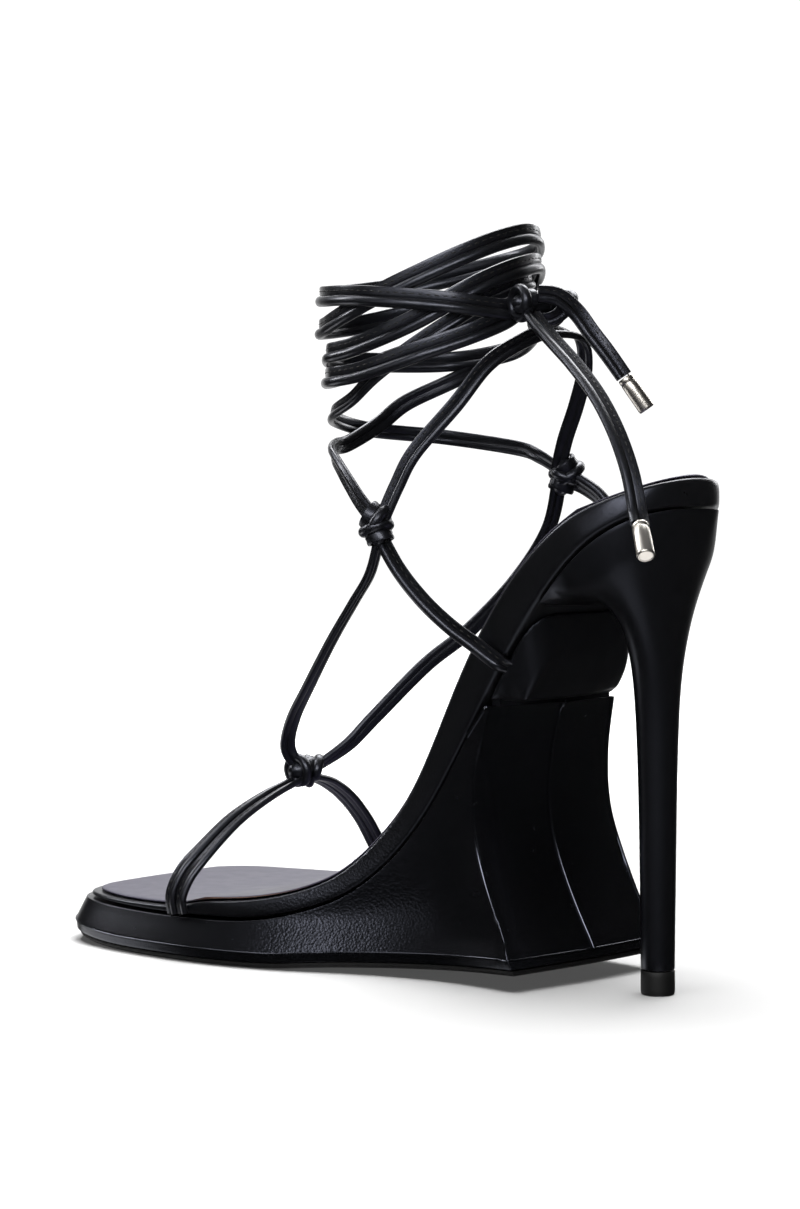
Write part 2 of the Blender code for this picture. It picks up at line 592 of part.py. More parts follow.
ANKLE_LINE = ((ANKLE_X, ANKLE_Y, 100), (ANKLE_X, ANKLE_Y, 230))
slim = [(u * SLIM_SCALE, w * SLIM_SCALE) for u, w in STRAP]
upper = [
    strap("straps", TOE_INNER, TOE_LINE, DOUBLE_STRAP, STRAP_LEATHER),
    strap("toe_outer", TOE_OUTER, TOE_LINE, DOUBLE_STRAP, STRAP_LEATHER),
    strap("instep_inner", INSTEP_INNER, INSTEP_LINE, slim, STRAP_LEATHER),
    strap("instep_outer", INSTEP_OUTER, INSTEP_LINE, slim, STRAP_LEATHER),
    strap("side_inner", SIDE_INNER, SIDE_LINE, STRAP, STRAP_LEATHER),
    strap("side_outer", SIDE_OUTER, SIDE_LINE, STRAP, STRAP_LEATHER),
    strap("front_inner", round_ankle(FRONT_INNER), ANKLE_LINE, slim, STRAP_LEATHER),
    strap("back_loop", round_ankle(BACK_LOOP), ANKLE_LINE, slim, STRAP_LEATHER),
    strap("front_outer", round_ankle(FRONT_OUTER), ANKLE_LINE, slim, STRAP_LEATHER),
    strap("upper_wrap", round_ankle(UPPER_WRAP), ANKLE_LINE, STRAP, STRAP_LEATHER),
    strap("top_wrap", round_ankle(TOP_WRAP), ANKLE_LINE, STRAP, STRAP_LEATHER),
    strap("middle_wrap", round_ankle(MIDDLE_WRAP), ANKLE_LINE, STRAP, STRAP_LEATHER),
    strap("lower_wrap", round_ankle(LOWER_WRAP), ANKLE_LINE, STRAP, STRAP_LEATHER),
]
for n, (centre, axis, half, radius) in enumerate(KNOTS):
    upper.append(knot("knot_%d" % n, centre, axis, half, radius, STRAP_LEATHER))
join(upper)

knot("tie_knot", *TIE_KNOT, STRAP_LEATHER)
for name, rows in (("long", TIE_LONG), ("short", TIE_SHORT)):
    strap("tie_" + name, rows, TIE_LINE, [(u * TIE_SCALE, w * TIE_SCALE) for u, w in STRAP],
          STRAP_LEATHER)
    last = Vector(rows[-1])
    run = (last - Vector(rows[-2])).normalized()
    lathe("aglet_" + name, last + run * GAP, run,
          [(0.0, AGLET_RADIUS - 0.5), (0.5, AGLET_RADIUS - 0.1), (AGLET_LONG - 0.6, AGLET_RADIUS),
           (AGLET_LONG, AGLET_RADIUS - 0.5)], AGLET_SIDES, METAL)
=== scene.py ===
"""Looks of a black lace-up sandal: platform running into a wedge, stiletto heel, piped straps.

Metres, +X to the toe, +Y to the big-toe side, +Z up, origin on the floor under the ball.
"""
import math

import bmesh
import bpy
from mathutils import Matrix, Vector


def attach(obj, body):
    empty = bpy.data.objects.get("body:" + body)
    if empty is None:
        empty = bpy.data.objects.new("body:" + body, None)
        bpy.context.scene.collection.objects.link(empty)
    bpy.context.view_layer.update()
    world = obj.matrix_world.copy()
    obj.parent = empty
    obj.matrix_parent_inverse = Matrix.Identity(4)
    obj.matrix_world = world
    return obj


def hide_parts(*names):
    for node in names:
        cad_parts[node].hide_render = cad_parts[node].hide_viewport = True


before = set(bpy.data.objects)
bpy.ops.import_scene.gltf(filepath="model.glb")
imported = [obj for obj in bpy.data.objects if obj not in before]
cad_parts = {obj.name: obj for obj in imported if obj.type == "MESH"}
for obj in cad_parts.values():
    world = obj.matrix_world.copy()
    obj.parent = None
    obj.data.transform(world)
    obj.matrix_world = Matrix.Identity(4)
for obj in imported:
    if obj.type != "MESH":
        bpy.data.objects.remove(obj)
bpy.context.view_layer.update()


# Outsole
# A thin sheet of moulded rubber, cemented under the platform and cut back from its edge, so that
# a groove runs all round between the two. Its underside has a fine crossed tread.
MM = 0.001
WELD = 0.002 * MM                 # corners of a solid that lie closer than this are one
OUTSOLE_EDGE = 0.25 * MM
TREAD_PITCH = 3.2 * MM
TREAD_FACING = (-0.9, -0.98)      # the tread comes in as a face turns down between these normals
WAVE_RATE = 20                    # radians a metre in a wave texture of scale 1
RUBBER_COLOUR = (0.0060, 0.0062, 0.0066)


def merged(node):
    """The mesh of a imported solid, open for work, with its corners joined again."""
    form = bmesh.new()
    form.from_mesh(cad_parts[node].data)
    bmesh.ops.remove_doubles(form, verts=form.verts, dist=WELD)
    return form


def linked(name, data):
    """A new object in the scene."""
    made = bpy.data.objects.new(name, data)
    bpy.context.scene.collection.objects.link(made)
    return made


def worked_copy(node, name, crisp, edge, levels, seams=None):
    """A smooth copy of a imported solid: quads again, crisp edges rounded and held, then subdivided."""
    form = merged(node)
    bmesh.ops.join_triangles(form, faces=form.faces, angle_face_threshold=math.radians(30),
                             angle_shape_threshold=math.radians(70))
    sharp = [e for e in form.edges
             if e.calc_face_angle(0.0) > math.radians(crisp) or (seams and seams(e))]
    rounded = bmesh.ops.bevel(form, geom=sharp, offset=edge, offset_type="OFFSET", segments=2,
                              profile=0.5, affect="EDGES", clamp_overlap=True)["faces"]
    hold = form.edges.layers.float.new("crease_edge")
    for e in form.edges:
        if sum(face in rounded for face in e.link_faces) == 1:
            e[hold] = 1.0
    mesh = bpy.data.meshes.new(name)
    form.to_mesh(mesh)
    form.free()
    piece = linked(name, mesh)
    smooth = piece.modifiers.new("smooth", "SUBSURF")
    smooth.levels = smooth.render_levels = levels
    return settled(piece)


def settled(piece):
    """The piece with its modifiers worked into its mesh, shaded smooth."""
    bpy.context.view_layer.update()
    shown = piece.evaluated_get(bpy.context.evaluated_depsgraph_get())
    mesh = bpy.data.meshes.new_from_object(shown)
    piece.modifiers.clear()
    piece.data = mesh
    mesh.shade_smooth()
    return piece


def fitted(piece, finish, slot, *nodes):
    """Gives a piece its material, its body and the solids that it stands for; its slot is not used."""
    piece.data.materials.clear()
    piece.data.materials.append(finish)
    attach(piece, "root")
    if nodes:
        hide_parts(*nodes)


def new_finish(name, sockets):
    """A new material with plain values on its shader: itself, its tree, shader and coordinates."""
    made = bpy.data.materials.new(name)
    made.use_nodes = True
    tree = made.node_tree
    shader = tree.nodes["Principled BSDF"]
    for socket, value in sockets.items():
        shader.inputs[socket].default_value = value
    place = tree.nodes.new("ShaderNodeTexCoord").outputs["Object"]
    return made, tree, shader, place


def noise(tree, place, scale, detail=2.0):
    """A noise texture read at a place on the surface."""
    node = tree.nodes.new("ShaderNodeTexNoise")
    node.inputs["Scale"].default_value = scale
    node.inputs["Detail"].default_value = detail
    tree.links.new(place, node.inputs["Vector"])
    return node


def worked_out(tree, operation, *terms):
    """The result of a Math node whose terms are numbers or outputs of other nodes."""
    node = tree.nodes.new("ShaderNodeMath")
    node.operation = operation
    for socket, term in zip(node.inputs, terms):
        if isinstance(term, float):
            socket.default_value = term
        else:
            tree.links.new(term, socket)
    return node.outputs["Value"]


def ranged(tree, value, from_range, to_range, curve="LINEAR"):
    """A value carried over from one range to another."""
    node = tree.nodes.new("ShaderNodeMapRange")
    node.interpolation_type = curve
    for name, number in zip(("From Min", "From Max", "To Min", "To Max"), (*from_range, *to_range)):
        node.inputs[name].default_value = number
    tree.links.new(value, node.inputs["Value"])
    return node.outputs["Result"]


def surface_group(name):
    """A new shader group from a place on the surface to a height and a roughness, and its two ends."""
    group = bpy.data.node_groups.new(name, "ShaderNodeTree")
    for socket, kind in (("Vector", "Vector"), ("Scale", "Float"), ("Dull", "Float"), ("Shine", "Float")):
        group.interface.new_socket(socket, in_out="INPUT", socket_type="NodeSocket" + kind)
    for socket in ("Height", "Roughness"):
        group.interface.new_socket(socket, in_out="OUTPUT", socket_type="NodeSocketFloat")
    return group, group.nodes.new("NodeGroupInput"), group.nodes.new("NodeGroupOutput")


def spread_shine(group, given, result, mask):
    """Lets a group's roughness run from its shine to its dull value with a mask."""
    spread = group.nodes.new("ShaderNodeMapRange")
    group.links.new(mask, spread.inputs["Value"])
    group.links.new(given.outputs["Shine"], spread.inputs["To Min"])
    group.links.new(given.outputs["Dull"], spread.inputs["To Max"])
    group.links.new(spread.outputs["Result"], result.inputs["Roughness"])


def moulded_group():
    """Fine stipple of a mould, in patches that shine more or less."""
    group, given, result = surface_group("mould_stipple")
    stipple = noise(group, given.outputs["Vector"], scale=1.0, detail=4.0)
    patches = noise(group, given.outputs["Vector"], scale=60.0)
    group.links.new(given.outputs["Scale"], stipple.inputs["Scale"])
    group.links.new(stipple.outputs["Fac"], result.inputs["Height"])
    spread_shine(group, given, result, patches.outputs["Fac"])
    return group


mould_stipple = moulded_group()


def bump_from(tree, shader, height, depth, strength):
    """Feeds a height to the shader's normal, as relief of a depth in metres."""
    bump = tree.nodes.new("ShaderNodeBump")
    bump.inputs["Strength"].default_value = strength
    bump.inputs["Distance"].default_value = depth
    tree.links.new(height, bump.inputs["Height"])
    tree.links.new(bump.outputs["Normal"], shader.inputs["Normal"])


def use_group(tree, shader, group, place, **values):
    """Places a group with its own values, its roughness on the shader, and gives its height."""
    node = tree.nodes.new("ShaderNodeGroup")
    node.node_tree = group
    tree.links.new(place, node.inputs["Vector"])
    for name, value in values.items():
        node.inputs[name].default_value = value
    tree.links.new(node.outputs["Roughness"], shader.inputs["Roughness"])
    return node.outputs["Height"]


def tread_finish():
    """Black rubber whose downward faces have crossed grooves."""
    made, tree, shader, place = new_finish("tread_rubber", {"Base Color": (*RUBBER_COLOUR, 1.0)})
    stipple = use_group(tree, shader, mould_stipple, place, Scale=2600.0, Dull=0.66, Shine=0.52)
    grooves = []
    for turn in (45, -45):
        turned = tree.nodes.new("ShaderNodeMapping")
        turned.inputs["Rotation"].default_value = (0.0, 0.0, math.radians(turn))
        waves = tree.nodes.new("ShaderNodeTexWave")
        waves.inputs["Scale"].default_value = 2 * math.pi / (TREAD_PITCH * WAVE_RATE)
        tree.links.new(place, turned.inputs["Vector"])
        tree.links.new(turned.outputs["Vector"], waves.inputs["Vector"])
        grooves.append(waves.outputs["Fac"])
    facing = tree.nodes.new("ShaderNodeNewGeometry")
    split = tree.nodes.new("ShaderNodeSeparateXYZ")
    tread = tree.nodes.new("ShaderNodeMix")
    tree.links.new(facing.outputs["Normal"], split.inputs["Vector"])
    down = ranged(tree, split.outputs["Z"], TREAD_FACING, (0.0, 1.0))
    tree.links.new(down, tread.inputs["Factor"])
    tree.links.new(stipple, tread.inputs["A"])
    tree.links.new(worked_out(tree, "MINIMUM", *grooves), tread.inputs["B"])
    bump_from(tree, shader, tread.outputs["Result"], depth=0.2 * MM, strength=0.5)
    return made


outsole = worked_copy("outsole", "outsole_sheet", crisp=40, edge=OUTSOLE_EDGE, levels=2)
fitted(outsole, tread_finish(), "moulded_rubber", "outsole")


# Platform and wedge
# One moulding in black with the fine grain of leather, with a slanted rim over an upright lip. It
# rises into the wedge under the arch, whose back is drawn in between two crisp edges.
WEDGE_EDGE = 0.4 * MM
RIM_ANGLE = 22             # edges of the rim that bend more than this, in degrees, stay crisp
LEVEL = 0.3                # a level edge climbs by no more than this share of its length
MOULDING_COLOUR = (0.0032, 0.0033, 0.0037)
GRAIN_CELL, GRAIN_DEPTH = 0.75 * MM, 0.095 * MM
CELL_BEND = 0.6 * MM       # how far the cells of the grain are pushed out of line
PORE_SHARE = 0.35          # height of the pores beside that of the cells
# The grain is deepest just behind the ball and fades to the toe and to the heel.
GRAIN_MIDDLE = -26 * MM
GRAIN_FULL, GRAIN_GONE, GRAIN_REST = 12 * MM, 38 * MM, 0.15
COOL_SHEEN = (0.76, 0.80, 1.0)      # black leather mirrors the lights a little bluer than they are


def grain_group():
    """Pebbled leather: a height from small cells and pores, and a roughness that drifts."""
    group, given, result = surface_group("leather_grain")
    place = given.outputs["Vector"]
    drift = noise(group, place, scale=220.0, detail=3.0)
    pores = noise(group, place, scale=4200.0)
    bend = group.nodes.new("ShaderNodeVectorMath")
    bend.operation = "MULTIPLY_ADD"
    bend.inputs[1].default_value = (CELL_BEND, CELL_BEND, CELL_BEND)
    cells = group.nodes.new("ShaderNodeTexVoronoi")
    group.links.new(drift.outputs["Color"], bend.inputs[0])
    group.links.new(place, bend.inputs[2])
    group.links.new(bend.outputs["Vector"], cells.inputs["Vector"])
    group.links.new(given.outputs["Scale"], cells.inputs["Scale"])
    height = worked_out(group, "MULTIPLY_ADD", pores.outputs["Fac"], PORE_SHARE, cells.outputs["Distance"])
    group.links.new(height, result.inputs["Height"])
    spread_shine(group, given, result, drift.outputs["Fac"])
    return group


leather_grain = grain_group()


def leather_finish(name, colour, cell, depth, strength, dull, shine, specular):
    """Black leather with pebbles of one cell size, in metres, pressed smooth away from the ball."""
    made, tree, shader, place = new_finish(name, {
        "Base Color": (*colour, 1.0), "Specular IOR Level": specular,
        "Specular Tint": (*COOL_SHEEN, 1.0)})
    grain = use_group(tree, shader, leather_grain, place, Scale=1.0 / cell, Dull=dull, Shine=shine)
    split = tree.nodes.new("ShaderNodeSeparateXYZ")
    tree.links.new(place, split.inputs["Vector"])
    from_middle = worked_out(tree, "SUBTRACT", split.outputs["X"], GRAIN_MIDDLE)
    fade = ranged(tree, worked_out(tree, "ABSOLUTE", from_middle), (GRAIN_FULL, GRAIN_GONE),
                  (1.0, GRAIN_REST), "SMOOTHSTEP")
    bump_from(tree, shader, worked_out(tree, "MULTIPLY", grain, fade), depth, strength)
    return made


def steep(edge, share):
    """True for an edge that climbs by more than this share of its length."""
    a, b = (v.co for v in edge.verts)
    return abs(a.z - b.z) > share * (a - b).length


def rim_edge(edge):
    """True for the level edges of the platform's rim."""
    return not steep(edge, LEVEL) and edge.calc_face_angle(0.0) > math.radians(RIM_ANGLE)


moulding = leather_finish("grained_moulding", MOULDING_COLOUR, cell=GRAIN_CELL, depth=GRAIN_DEPTH,
                          strength=0.9, dull=0.29, shine=0.23, specular=0.48)
platform = worked_copy("platform_wedge", "platform_wedge_moulding", crisp=40, edge=WEDGE_EDGE, levels=2,
                       seams=rim_edge)
fitted(platform, moulding, "moulded_rubber", "platform_wedge")


# Raised seams of the wedge
# The moulding's grained skin is closed by fine beads: one down the ridge of the wedge's back, one
# along each of its back edges, and one round the top of the upright lip.
SEAM_STEP, SEAM_SIDES = 1.2 * MM, 10
RIDGE_RADIUS, EDGE_RADIUS, LIP_RADIUS = 0.60 * MM, 0.60 * MM, 0.26 * MM
RIDGE_Y, RIDGE_OFF = -5.0 * MM, 0.05 * MM      # line of the ridge, and how far its edges may lie off it
BACK_X = -60.0 * MM                            # the wedge's back lies behind this
BACK_ANGLE, BACK_CLIMB = 40, 0.6               # its two edges bend and climb by more than this
LOOKS_DOWN, LOOKS_BACK = -0.9, -0.5            # normals of faces under the sole and on the wedge's back


def start_tree(name, sockets):
    """A new tree that grows a piece along lines: the tree, its inputs and the lines as curves."""
    tree = bpy.data.node_groups.new(name, "GeometryNodeTree")
    for socket, kind in (("Geometry", "Geometry"), *sockets, ("Finish", "Material")):
        tree.interface.new_socket(socket, in_out="INPUT", socket_type="NodeSocket" + kind)
    tree.interface.new_socket("Geometry", in_out="OUTPUT", socket_type="NodeSocketGeometry")
    given = tree.nodes.new("NodeGroupInput")
    lines = tree.nodes.new("GeometryNodeMeshToCurve")
    tree.links.new(given.outputs["Geometry"], lines.inputs["Mesh"])
    return tree, given, lines.outputs["Curve"]


def spaced_out(tree, curve, step):
    """The curve with a point at every step."""
    spaced = tree.nodes.new("GeometryNodeResampleCurve")
    spaced.mode = "LENGTH"
    tree.links.new(curve, spaced.inputs["Curve"])
    tree.links.new(step, spaced.inputs["Length"])
    return spaced.outputs["Curve"]


def end_tree(tree, given, shape):
    """Makes what has grown real, gives it its finish and puts it out."""
    real = tree.nodes.new("GeometryNodeRealizeInstances")
    coloured = tree.nodes.new("GeometryNodeSetMaterial")
    result = tree.nodes.new("NodeGroupOutput")
    tree.links.new(shape, real.inputs["Geometry"])
    tree.links.new(real.outputs["Geometry"], coloured.inputs["Geometry"])
    tree.links.new(given.outputs["Finish"], coloured.inputs["Material"])
    tree.links.new(coloured.outputs["Geometry"], result.inputs["Geometry"])


def seam_tree():
    """A round bead along lines, laid on a skin: step, radius, sides and finish."""
    tree, given, lines = start_tree("raised_seam", [
        ("Skin", "Object"), ("Step", "Float"), ("Radius", "Float"), ("Sides", "Int")])
    add, link = tree.nodes.new, tree.links.new
    curved = add("GeometryNodeCurveSplineType")
    curved.spline_type = "CATMULL_ROM"
    skin = add("GeometryNodeObjectInfo")
    nearest = add("GeometryNodeProximity")
    nearest.target_element = "FACES"
    laid = add("GeometryNodeSetPosition")
    ring = add("GeometryNodeCurvePrimitiveCircle")
    bead = add("GeometryNodeCurveToMesh")
    bead.inputs["Fill Caps"].default_value = True
    link(lines, curved.inputs["Curve"])
    link(given.outputs["Skin"], skin.inputs["Object"])
    link(skin.outputs["Geometry"], nearest.inputs[0])
    link(spaced_out(tree, curved.outputs["Curve"], given.outputs["Step"]), laid.inputs["Geometry"])
    link(nearest.outputs["Position"], laid.inputs["Position"])
    link(laid.outputs["Geometry"], bead.inputs["Curve"])
    link(given.outputs["Sides"], ring.inputs["Resolution"])
    link(given.outputs["Radius"], ring.inputs["Radius"])
    link(ring.outputs["Curve"], bead.inputs["Profile Curve"])
    end_tree(tree, given, bead.outputs["Mesh"])
    return tree


def grown(tree, name, points, edges, values):
    """A piece that a node tree grows along lines, with the tree's inputs set by name."""
    mesh = bpy.data.meshes.new(name)
    mesh.from_pydata(points, edges, [])
    piece = linked(name, mesh)
    growth = piece.modifiers.new("growth", "NODES")
    growth.node_group = tree
    for item in tree.interface.items_tree:
        if item.in_out == "INPUT" and item.name in values:
            growth[item.identifier] = values[item.name]
    return settled(piece)


def lip_corners(form):
    """Corners at the foot of the upright lip, and those at its top, the next ones up."""
    under = {f for f in form.faces if f.normal.z < LOOKS_DOWN}
    foot = {v for f in under for v in f.verts if not under.issuperset(v.link_faces)}
    found = set()
    for v in foot:
        rising = [e for e in v.link_edges if not under.intersection(e.link_faces)]
        steepest = max(rising, key=lambda e: (e.other_vert(v).co.z - v.co.z) / e.calc_length())
        found.add(steepest.other_vert(v))
    return foot, found


seam_finish = leather_finish("seam_bead", MOULDING_COLOUR, cell=GRAIN_CELL, depth=0.01 * MM,
                             strength=0.2, dull=0.16, shine=0.10, specular=1.0)
form = merged("platform_wedge")
foot, lip = lip_corners(form)
ridge_edges, back_edges, lip_edges = [], [], []
for e in form.edges:
    behind = all(v.co.x < BACK_X and v not in foot for v in e.verts)
    if behind and all(abs(v.co.y - RIDGE_Y) < RIDGE_OFF for v in e.verts):
        if all(f.normal.x < LOOKS_BACK for f in e.link_faces):
            ridge_edges.append(e)
    elif behind and steep(e, BACK_CLIMB) and e.calc_face_angle(0.0) > math.radians(BACK_ANGLE):
        back_edges.append(e)
    elif lip.issuperset(e.verts) and not steep(e, LEVEL):
        lip_edges.append(e)
seam_node = seam_tree()
for name, lines, radius in (("wedge_ridge_seam", ridge_edges, RIDGE_RADIUS),
                            ("wedge_edge_seams", back_edges, EDGE_RADIUS),
                            ("platform_lip_seam", lip_edges, LIP_RADIUS)):
    corners = list({v: None for e in lines for v in e.verts})
    number = {v: i for i, v in enumerate(corners)}
    seam = grown(seam_node, name, [v.co.copy() for v in corners],
                 [[number[v] for v in e.verts] for e in lines],
                 {"Skin": platform, "Step": SEAM_STEP, "Radius": radius, "Sides": SEAM_SIDES,
                  "Finish": seam_finish})
    fitted(seam, seam_finish, "moulded_rubber")
form.free()


# Heel and its top piece
# A slim moulded heel covered in smooth leather, drawn tight and glued, screwed up into the seat.
# The top piece is a stub of hard rubber, pinned into its foot and worn first.
HEEL_EDGE, TIP_EDGE = 0.4 * MM, 0.2 * MM
LEATHER_COLOUR = (0.0042, 0.0042, 0.0047)
TIP_COLOUR = (0.006, 0.006, 0.006)

heel_leather = leather_finish("heel_leather", LEATHER_COLOUR, cell=0.7 * MM, depth=0.03 * MM,
                              strength=0.3, dull=0.40, shine=0.32, specular=0.45)
heel = worked_copy("heel", "heel_cover", crisp=50, edge=HEEL_EDGE, levels=3)
fitted(heel, heel_leather, "black_leather", "heel")

tip_rubber, tree, shader, place = new_finish("top_piece_rubber", {"Base Color": (*TIP_COLOUR, 1.0)})
stipple = use_group(tree, shader, mould_stipple, place, Scale=3000.0, Dull=0.62, Shine=0.5)
bump_from(tree, shader, stipple, depth=0.05 * MM, strength=0.4)
tip = worked_copy("heel_tip", "heel_top_piece", crisp=40, edge=TIP_EDGE, levels=2)
fitted(tip, tip_rubber, "tip_rubber", "heel_tip")


# Waist cover
# Leather drawn over the keel that fills the arch between the wedge and the heel, tucked under the
# footbed's edge. A thin black board lies in the slot between it and the top of the wedge.
WAIST_EDGE = 0.2 * MM
WAIST_VOXEL, WAIST_PASSES = 0.5 * MM, 20
# The board in millimetres: corners along and to the big-toe side, its underside and its top.
BOARD_PLAN = [(-71.5, 17.5), (-74.4, -5.0), (-73.8, -28.4), (-70.0, -28.4), (-69.0, 17.5)]
BOARD_LOW, BOARD_HIGH = 73.8, 75.8


def mesh_piece(form, name, crisp=60):
    """A new object from a bmesh, faces out and smooth, but for edges that bend more than crisp."""
    bmesh.ops.recalc_face_normals(form, faces=form.faces)
    mesh = bpy.data.meshes.new(name)
    form.to_mesh(mesh)
    form.free()
    mesh.shade_smooth()
    mesh.set_sharp_from_angle(angle=math.radians(crisp))
    return linked(name, mesh)


waist = worked_copy("waist_cover", "waist_cover_leather", crisp=24, edge=WAIST_EDGE, levels=1)
even = waist.modifiers.new("even", "REMESH")
even.voxel_size = WAIST_VOXEL
drawn = waist.modifiers.new("drawn", "SMOOTH")
drawn.factor, drawn.iterations = 0.5, WAIST_PASSES
fitted(settled(waist), heel_leather, "black_leather", "waist_cover")

form = bmesh.new()
board = form.faces.new([form.verts.new(Vector((x, y, BOARD_LOW)) * MM) for x, y in BOARD_PLAN])
raised = bmesh.ops.extrude_face_region(form, geom=[board], use_keep_orig=True)["geom"]
for part in raised:
    if isinstance(part, bmesh.types.BMVert):
        part.co.z = BOARD_HIGH * MM
fitted(mesh_piece(form, "slot_board", crisp=0), heel_leather, "black_leather")


# Footbed
# A moulded board under a strip of smooth leather that wraps round its edge from toe to heel. The
# strip shows as a band, broad under the arch and thin at the toe.
BAND_EDGE = 0.12 * MM
BAND_COLOUR = (0.0050, 0.0050, 0.0054)
band_leather = leather_finish("band_leather", BAND_COLOUR, cell=0.75 * MM, depth=0.09 * MM,
                              strength=0.9, dull=0.33, shine=0.26, specular=0.5)
footbed = worked_copy("footbed", "footbed_band", crisp=60, edge=BAND_EDGE, levels=2)
fitted(footbed, band_leather, "black_leather", "footbed")


# Insole
# A sock of soft black leather on a thin tan backing, glued on top of the footbed. The backing shows
# as a fine line where the sock's cut edge lifts by the ball of the foot.
SOCK_EDGE, SOCK_CELL = 0.1 * MM, 0.6 * MM
# The sock's colour is black leather lifted to a lavender grey: a painted sheen of the white backdrop that
# it mirrors at a glancing angle.
SOCK_COLOUR_WITH_PAINTED_SHEEN, SOCK_SHEEN = (0.025, 0.0232, 0.036), (0.75, 0.72, 1.0)
BACKING_COLOUR = (0.42, 0.23, 0.11)
BALL_X, BALL_REACH = 3 * MM, 15 * MM      # where the cut edge lifts, and how far to each side
UPRIGHT = 0.35                            # the cut edge's normals climb less than this


def sock_finish():
    """Soft leather, its colour lightened by a painted sheen, that turns to its tan backing where the cut
    edge lifts.
    """
    made, tree, shader, place = new_finish("sock_leather", {
        "Specular IOR Level": 0.62, "Specular Tint": (*SOCK_SHEEN, 1.0)})
    grain = use_group(tree, shader, leather_grain, place, Scale=1.0 / SOCK_CELL, Dull=0.46, Shine=0.34)
    bump_from(tree, shader, grain, depth=0.03 * MM, strength=0.3)
    cut = tree.nodes.new("ShaderNodeAttribute")
    cut.attribute_name = "cut_edge"
    colour = tree.nodes.new("ShaderNodeMix")
    colour.data_type = "RGBA"
    # Painted sheen: the sock's colour is lighter and bluer than its black leather, standing in for the
    # backdrop's reflection.
    colour.inputs["A"].default_value = (*SOCK_COLOUR_WITH_PAINTED_SHEEN, 1.0)
    colour.inputs["B"].default_value = (*BACKING_COLOUR, 1.0)
    tree.links.new(cut.outputs["Fac"], colour.inputs["Factor"])
    tree.links.new(colour.outputs["Result"], shader.inputs["Base Color"])
    return made


sock = worked_copy("insole", "sock", crisp=60, edge=SOCK_EDGE, levels=2)
edge_mask = sock.data.attributes.new("cut_edge", "FLOAT", "POINT")
for vertex, value in zip(sock.data.vertices, edge_mask.data):
    upright = 1.0 - min(1.0, abs(vertex.normal.z) / UPRIGHT)
    by_ball = math.exp(-((vertex.co.x - BALL_X) / BALL_REACH) ** 4)
    value.value = upright * by_ball
fitted(sock, sock_finish(), "sock_leather", "insole")


# Straps
# Narrow strips of leather rolled round a cord along one edge and sewn flat beside it. Two run over
# the toes, knot, split over the instep, knot at each side of the ankle and wind round it.
STRAP_STEP = 1.1 * MM
SPAN_STEPS = 24            # steps between two points of a route, before it is spaced evenly
STRAP_COLOUR, STRAP_CELL = (0.0038, 0.0038, 0.0041), 0.55 * MM
CREASES, CREASE_SHARE = (900.0, 3.0, 1.0), 0.8      # creases to a metre and round it, and their height
STITCH_ACROSS, STITCH_OUT = -1.5 * MM, 0.42 * MM
# Section of a strap in millimetres: across it, out of its face.
FLANGE = [(-0.3, -0.62), (-1.6, -0.68), (-2.8, -0.6), (-3.08, -0.15), (-2.95, 0.38), (-2.3, 0.56),
          (-1.5, 0.42), (-0.7, 0.56), (-0.1, 0.34)]
BEAD_CENTRE, BEAD_ACROSS, BEAD_OUT, BEAD_SIDES = (1.5, 0.45), 1.6, 1.4, 13
BEAD_FROM, BEAD_TO = math.radians(165), math.radians(-145)
ANKLE_X, ANKLE_Y, ANKLE_LONG, ANKLE_WIDE = -31.0, -2.0, 30.0, 26.5
# Straps of the foot: along, to the big-toe side, up, in millimetres.
TOE_INNER = [
    (22.5, 43.4, 12.7), (22.8, 43.9, 17.5), (21.6, 41.6, 23.5), (19.8, 36.8, 29.0),
    (17.4, 26.0, 37.8), (14.8, 14.0, 44.2), (12.5, 3.5, 48.0),
]
TOE_OUTER = [
    (12.0, 1.5, 48.0), (12.5, -7.0, 46.0), (14.5, -17.5, 41.0), (17.5, -28.5, 33.5),
    (19.8, -37.0, 25.5), (20.6, -42.8, 18.0), (20.6, -42.9, 12.7),
]
INSTEP_INNER = [
    (12.5, 4.0, 50.5), (13.5, 9.0, 57.0), (7.0, 14.0, 66.0), (-5.0, 20.0, 77.0),
    (-18.0, 25.0, 90.0), (-28.5, 28.0, 100.5), (-36.0, 29.5, 109.0), (-39.5, 29.5, 120.0),
]
INSTEP_OUTER = [
    (10.5, 0.0, 50.0), (4.5, -8.6, 56.5), (-0.6, -14.4, 64.2), (-12.6, -23.4, 79.5),
    (-24.4, -29.0, 89.8), (-38.0, -33.0, 104.0), (-50.0, -33.5, 119.5), (-55.5, -31.5, 134.0),
]
SIDE_INNER = [
    (-39.5, 29.5, 121.0), (-47.5, 30.0, 110.5), (-55.0, 28.8, 102.3), (-62.0, 26.4, 95.8),
    (-68.3, 23.8, 91.0), (-72.6, 22.7, 88.0), (-75.3, 21.6, 86.0), (-76.4, 19.2, 84.8),
]
SIDE_OUTER = [
    (-55.5, -31.5, 134.5), (-62.0, -32.2, 132.0), (-68.5, -33.0, 127.0), (-74.0, -33.0, 117.0),
    (-77.0, -31.8, 104.5), (-77.5, -30.6, 96.0), (-77.5, -30.4, 90.0),
]
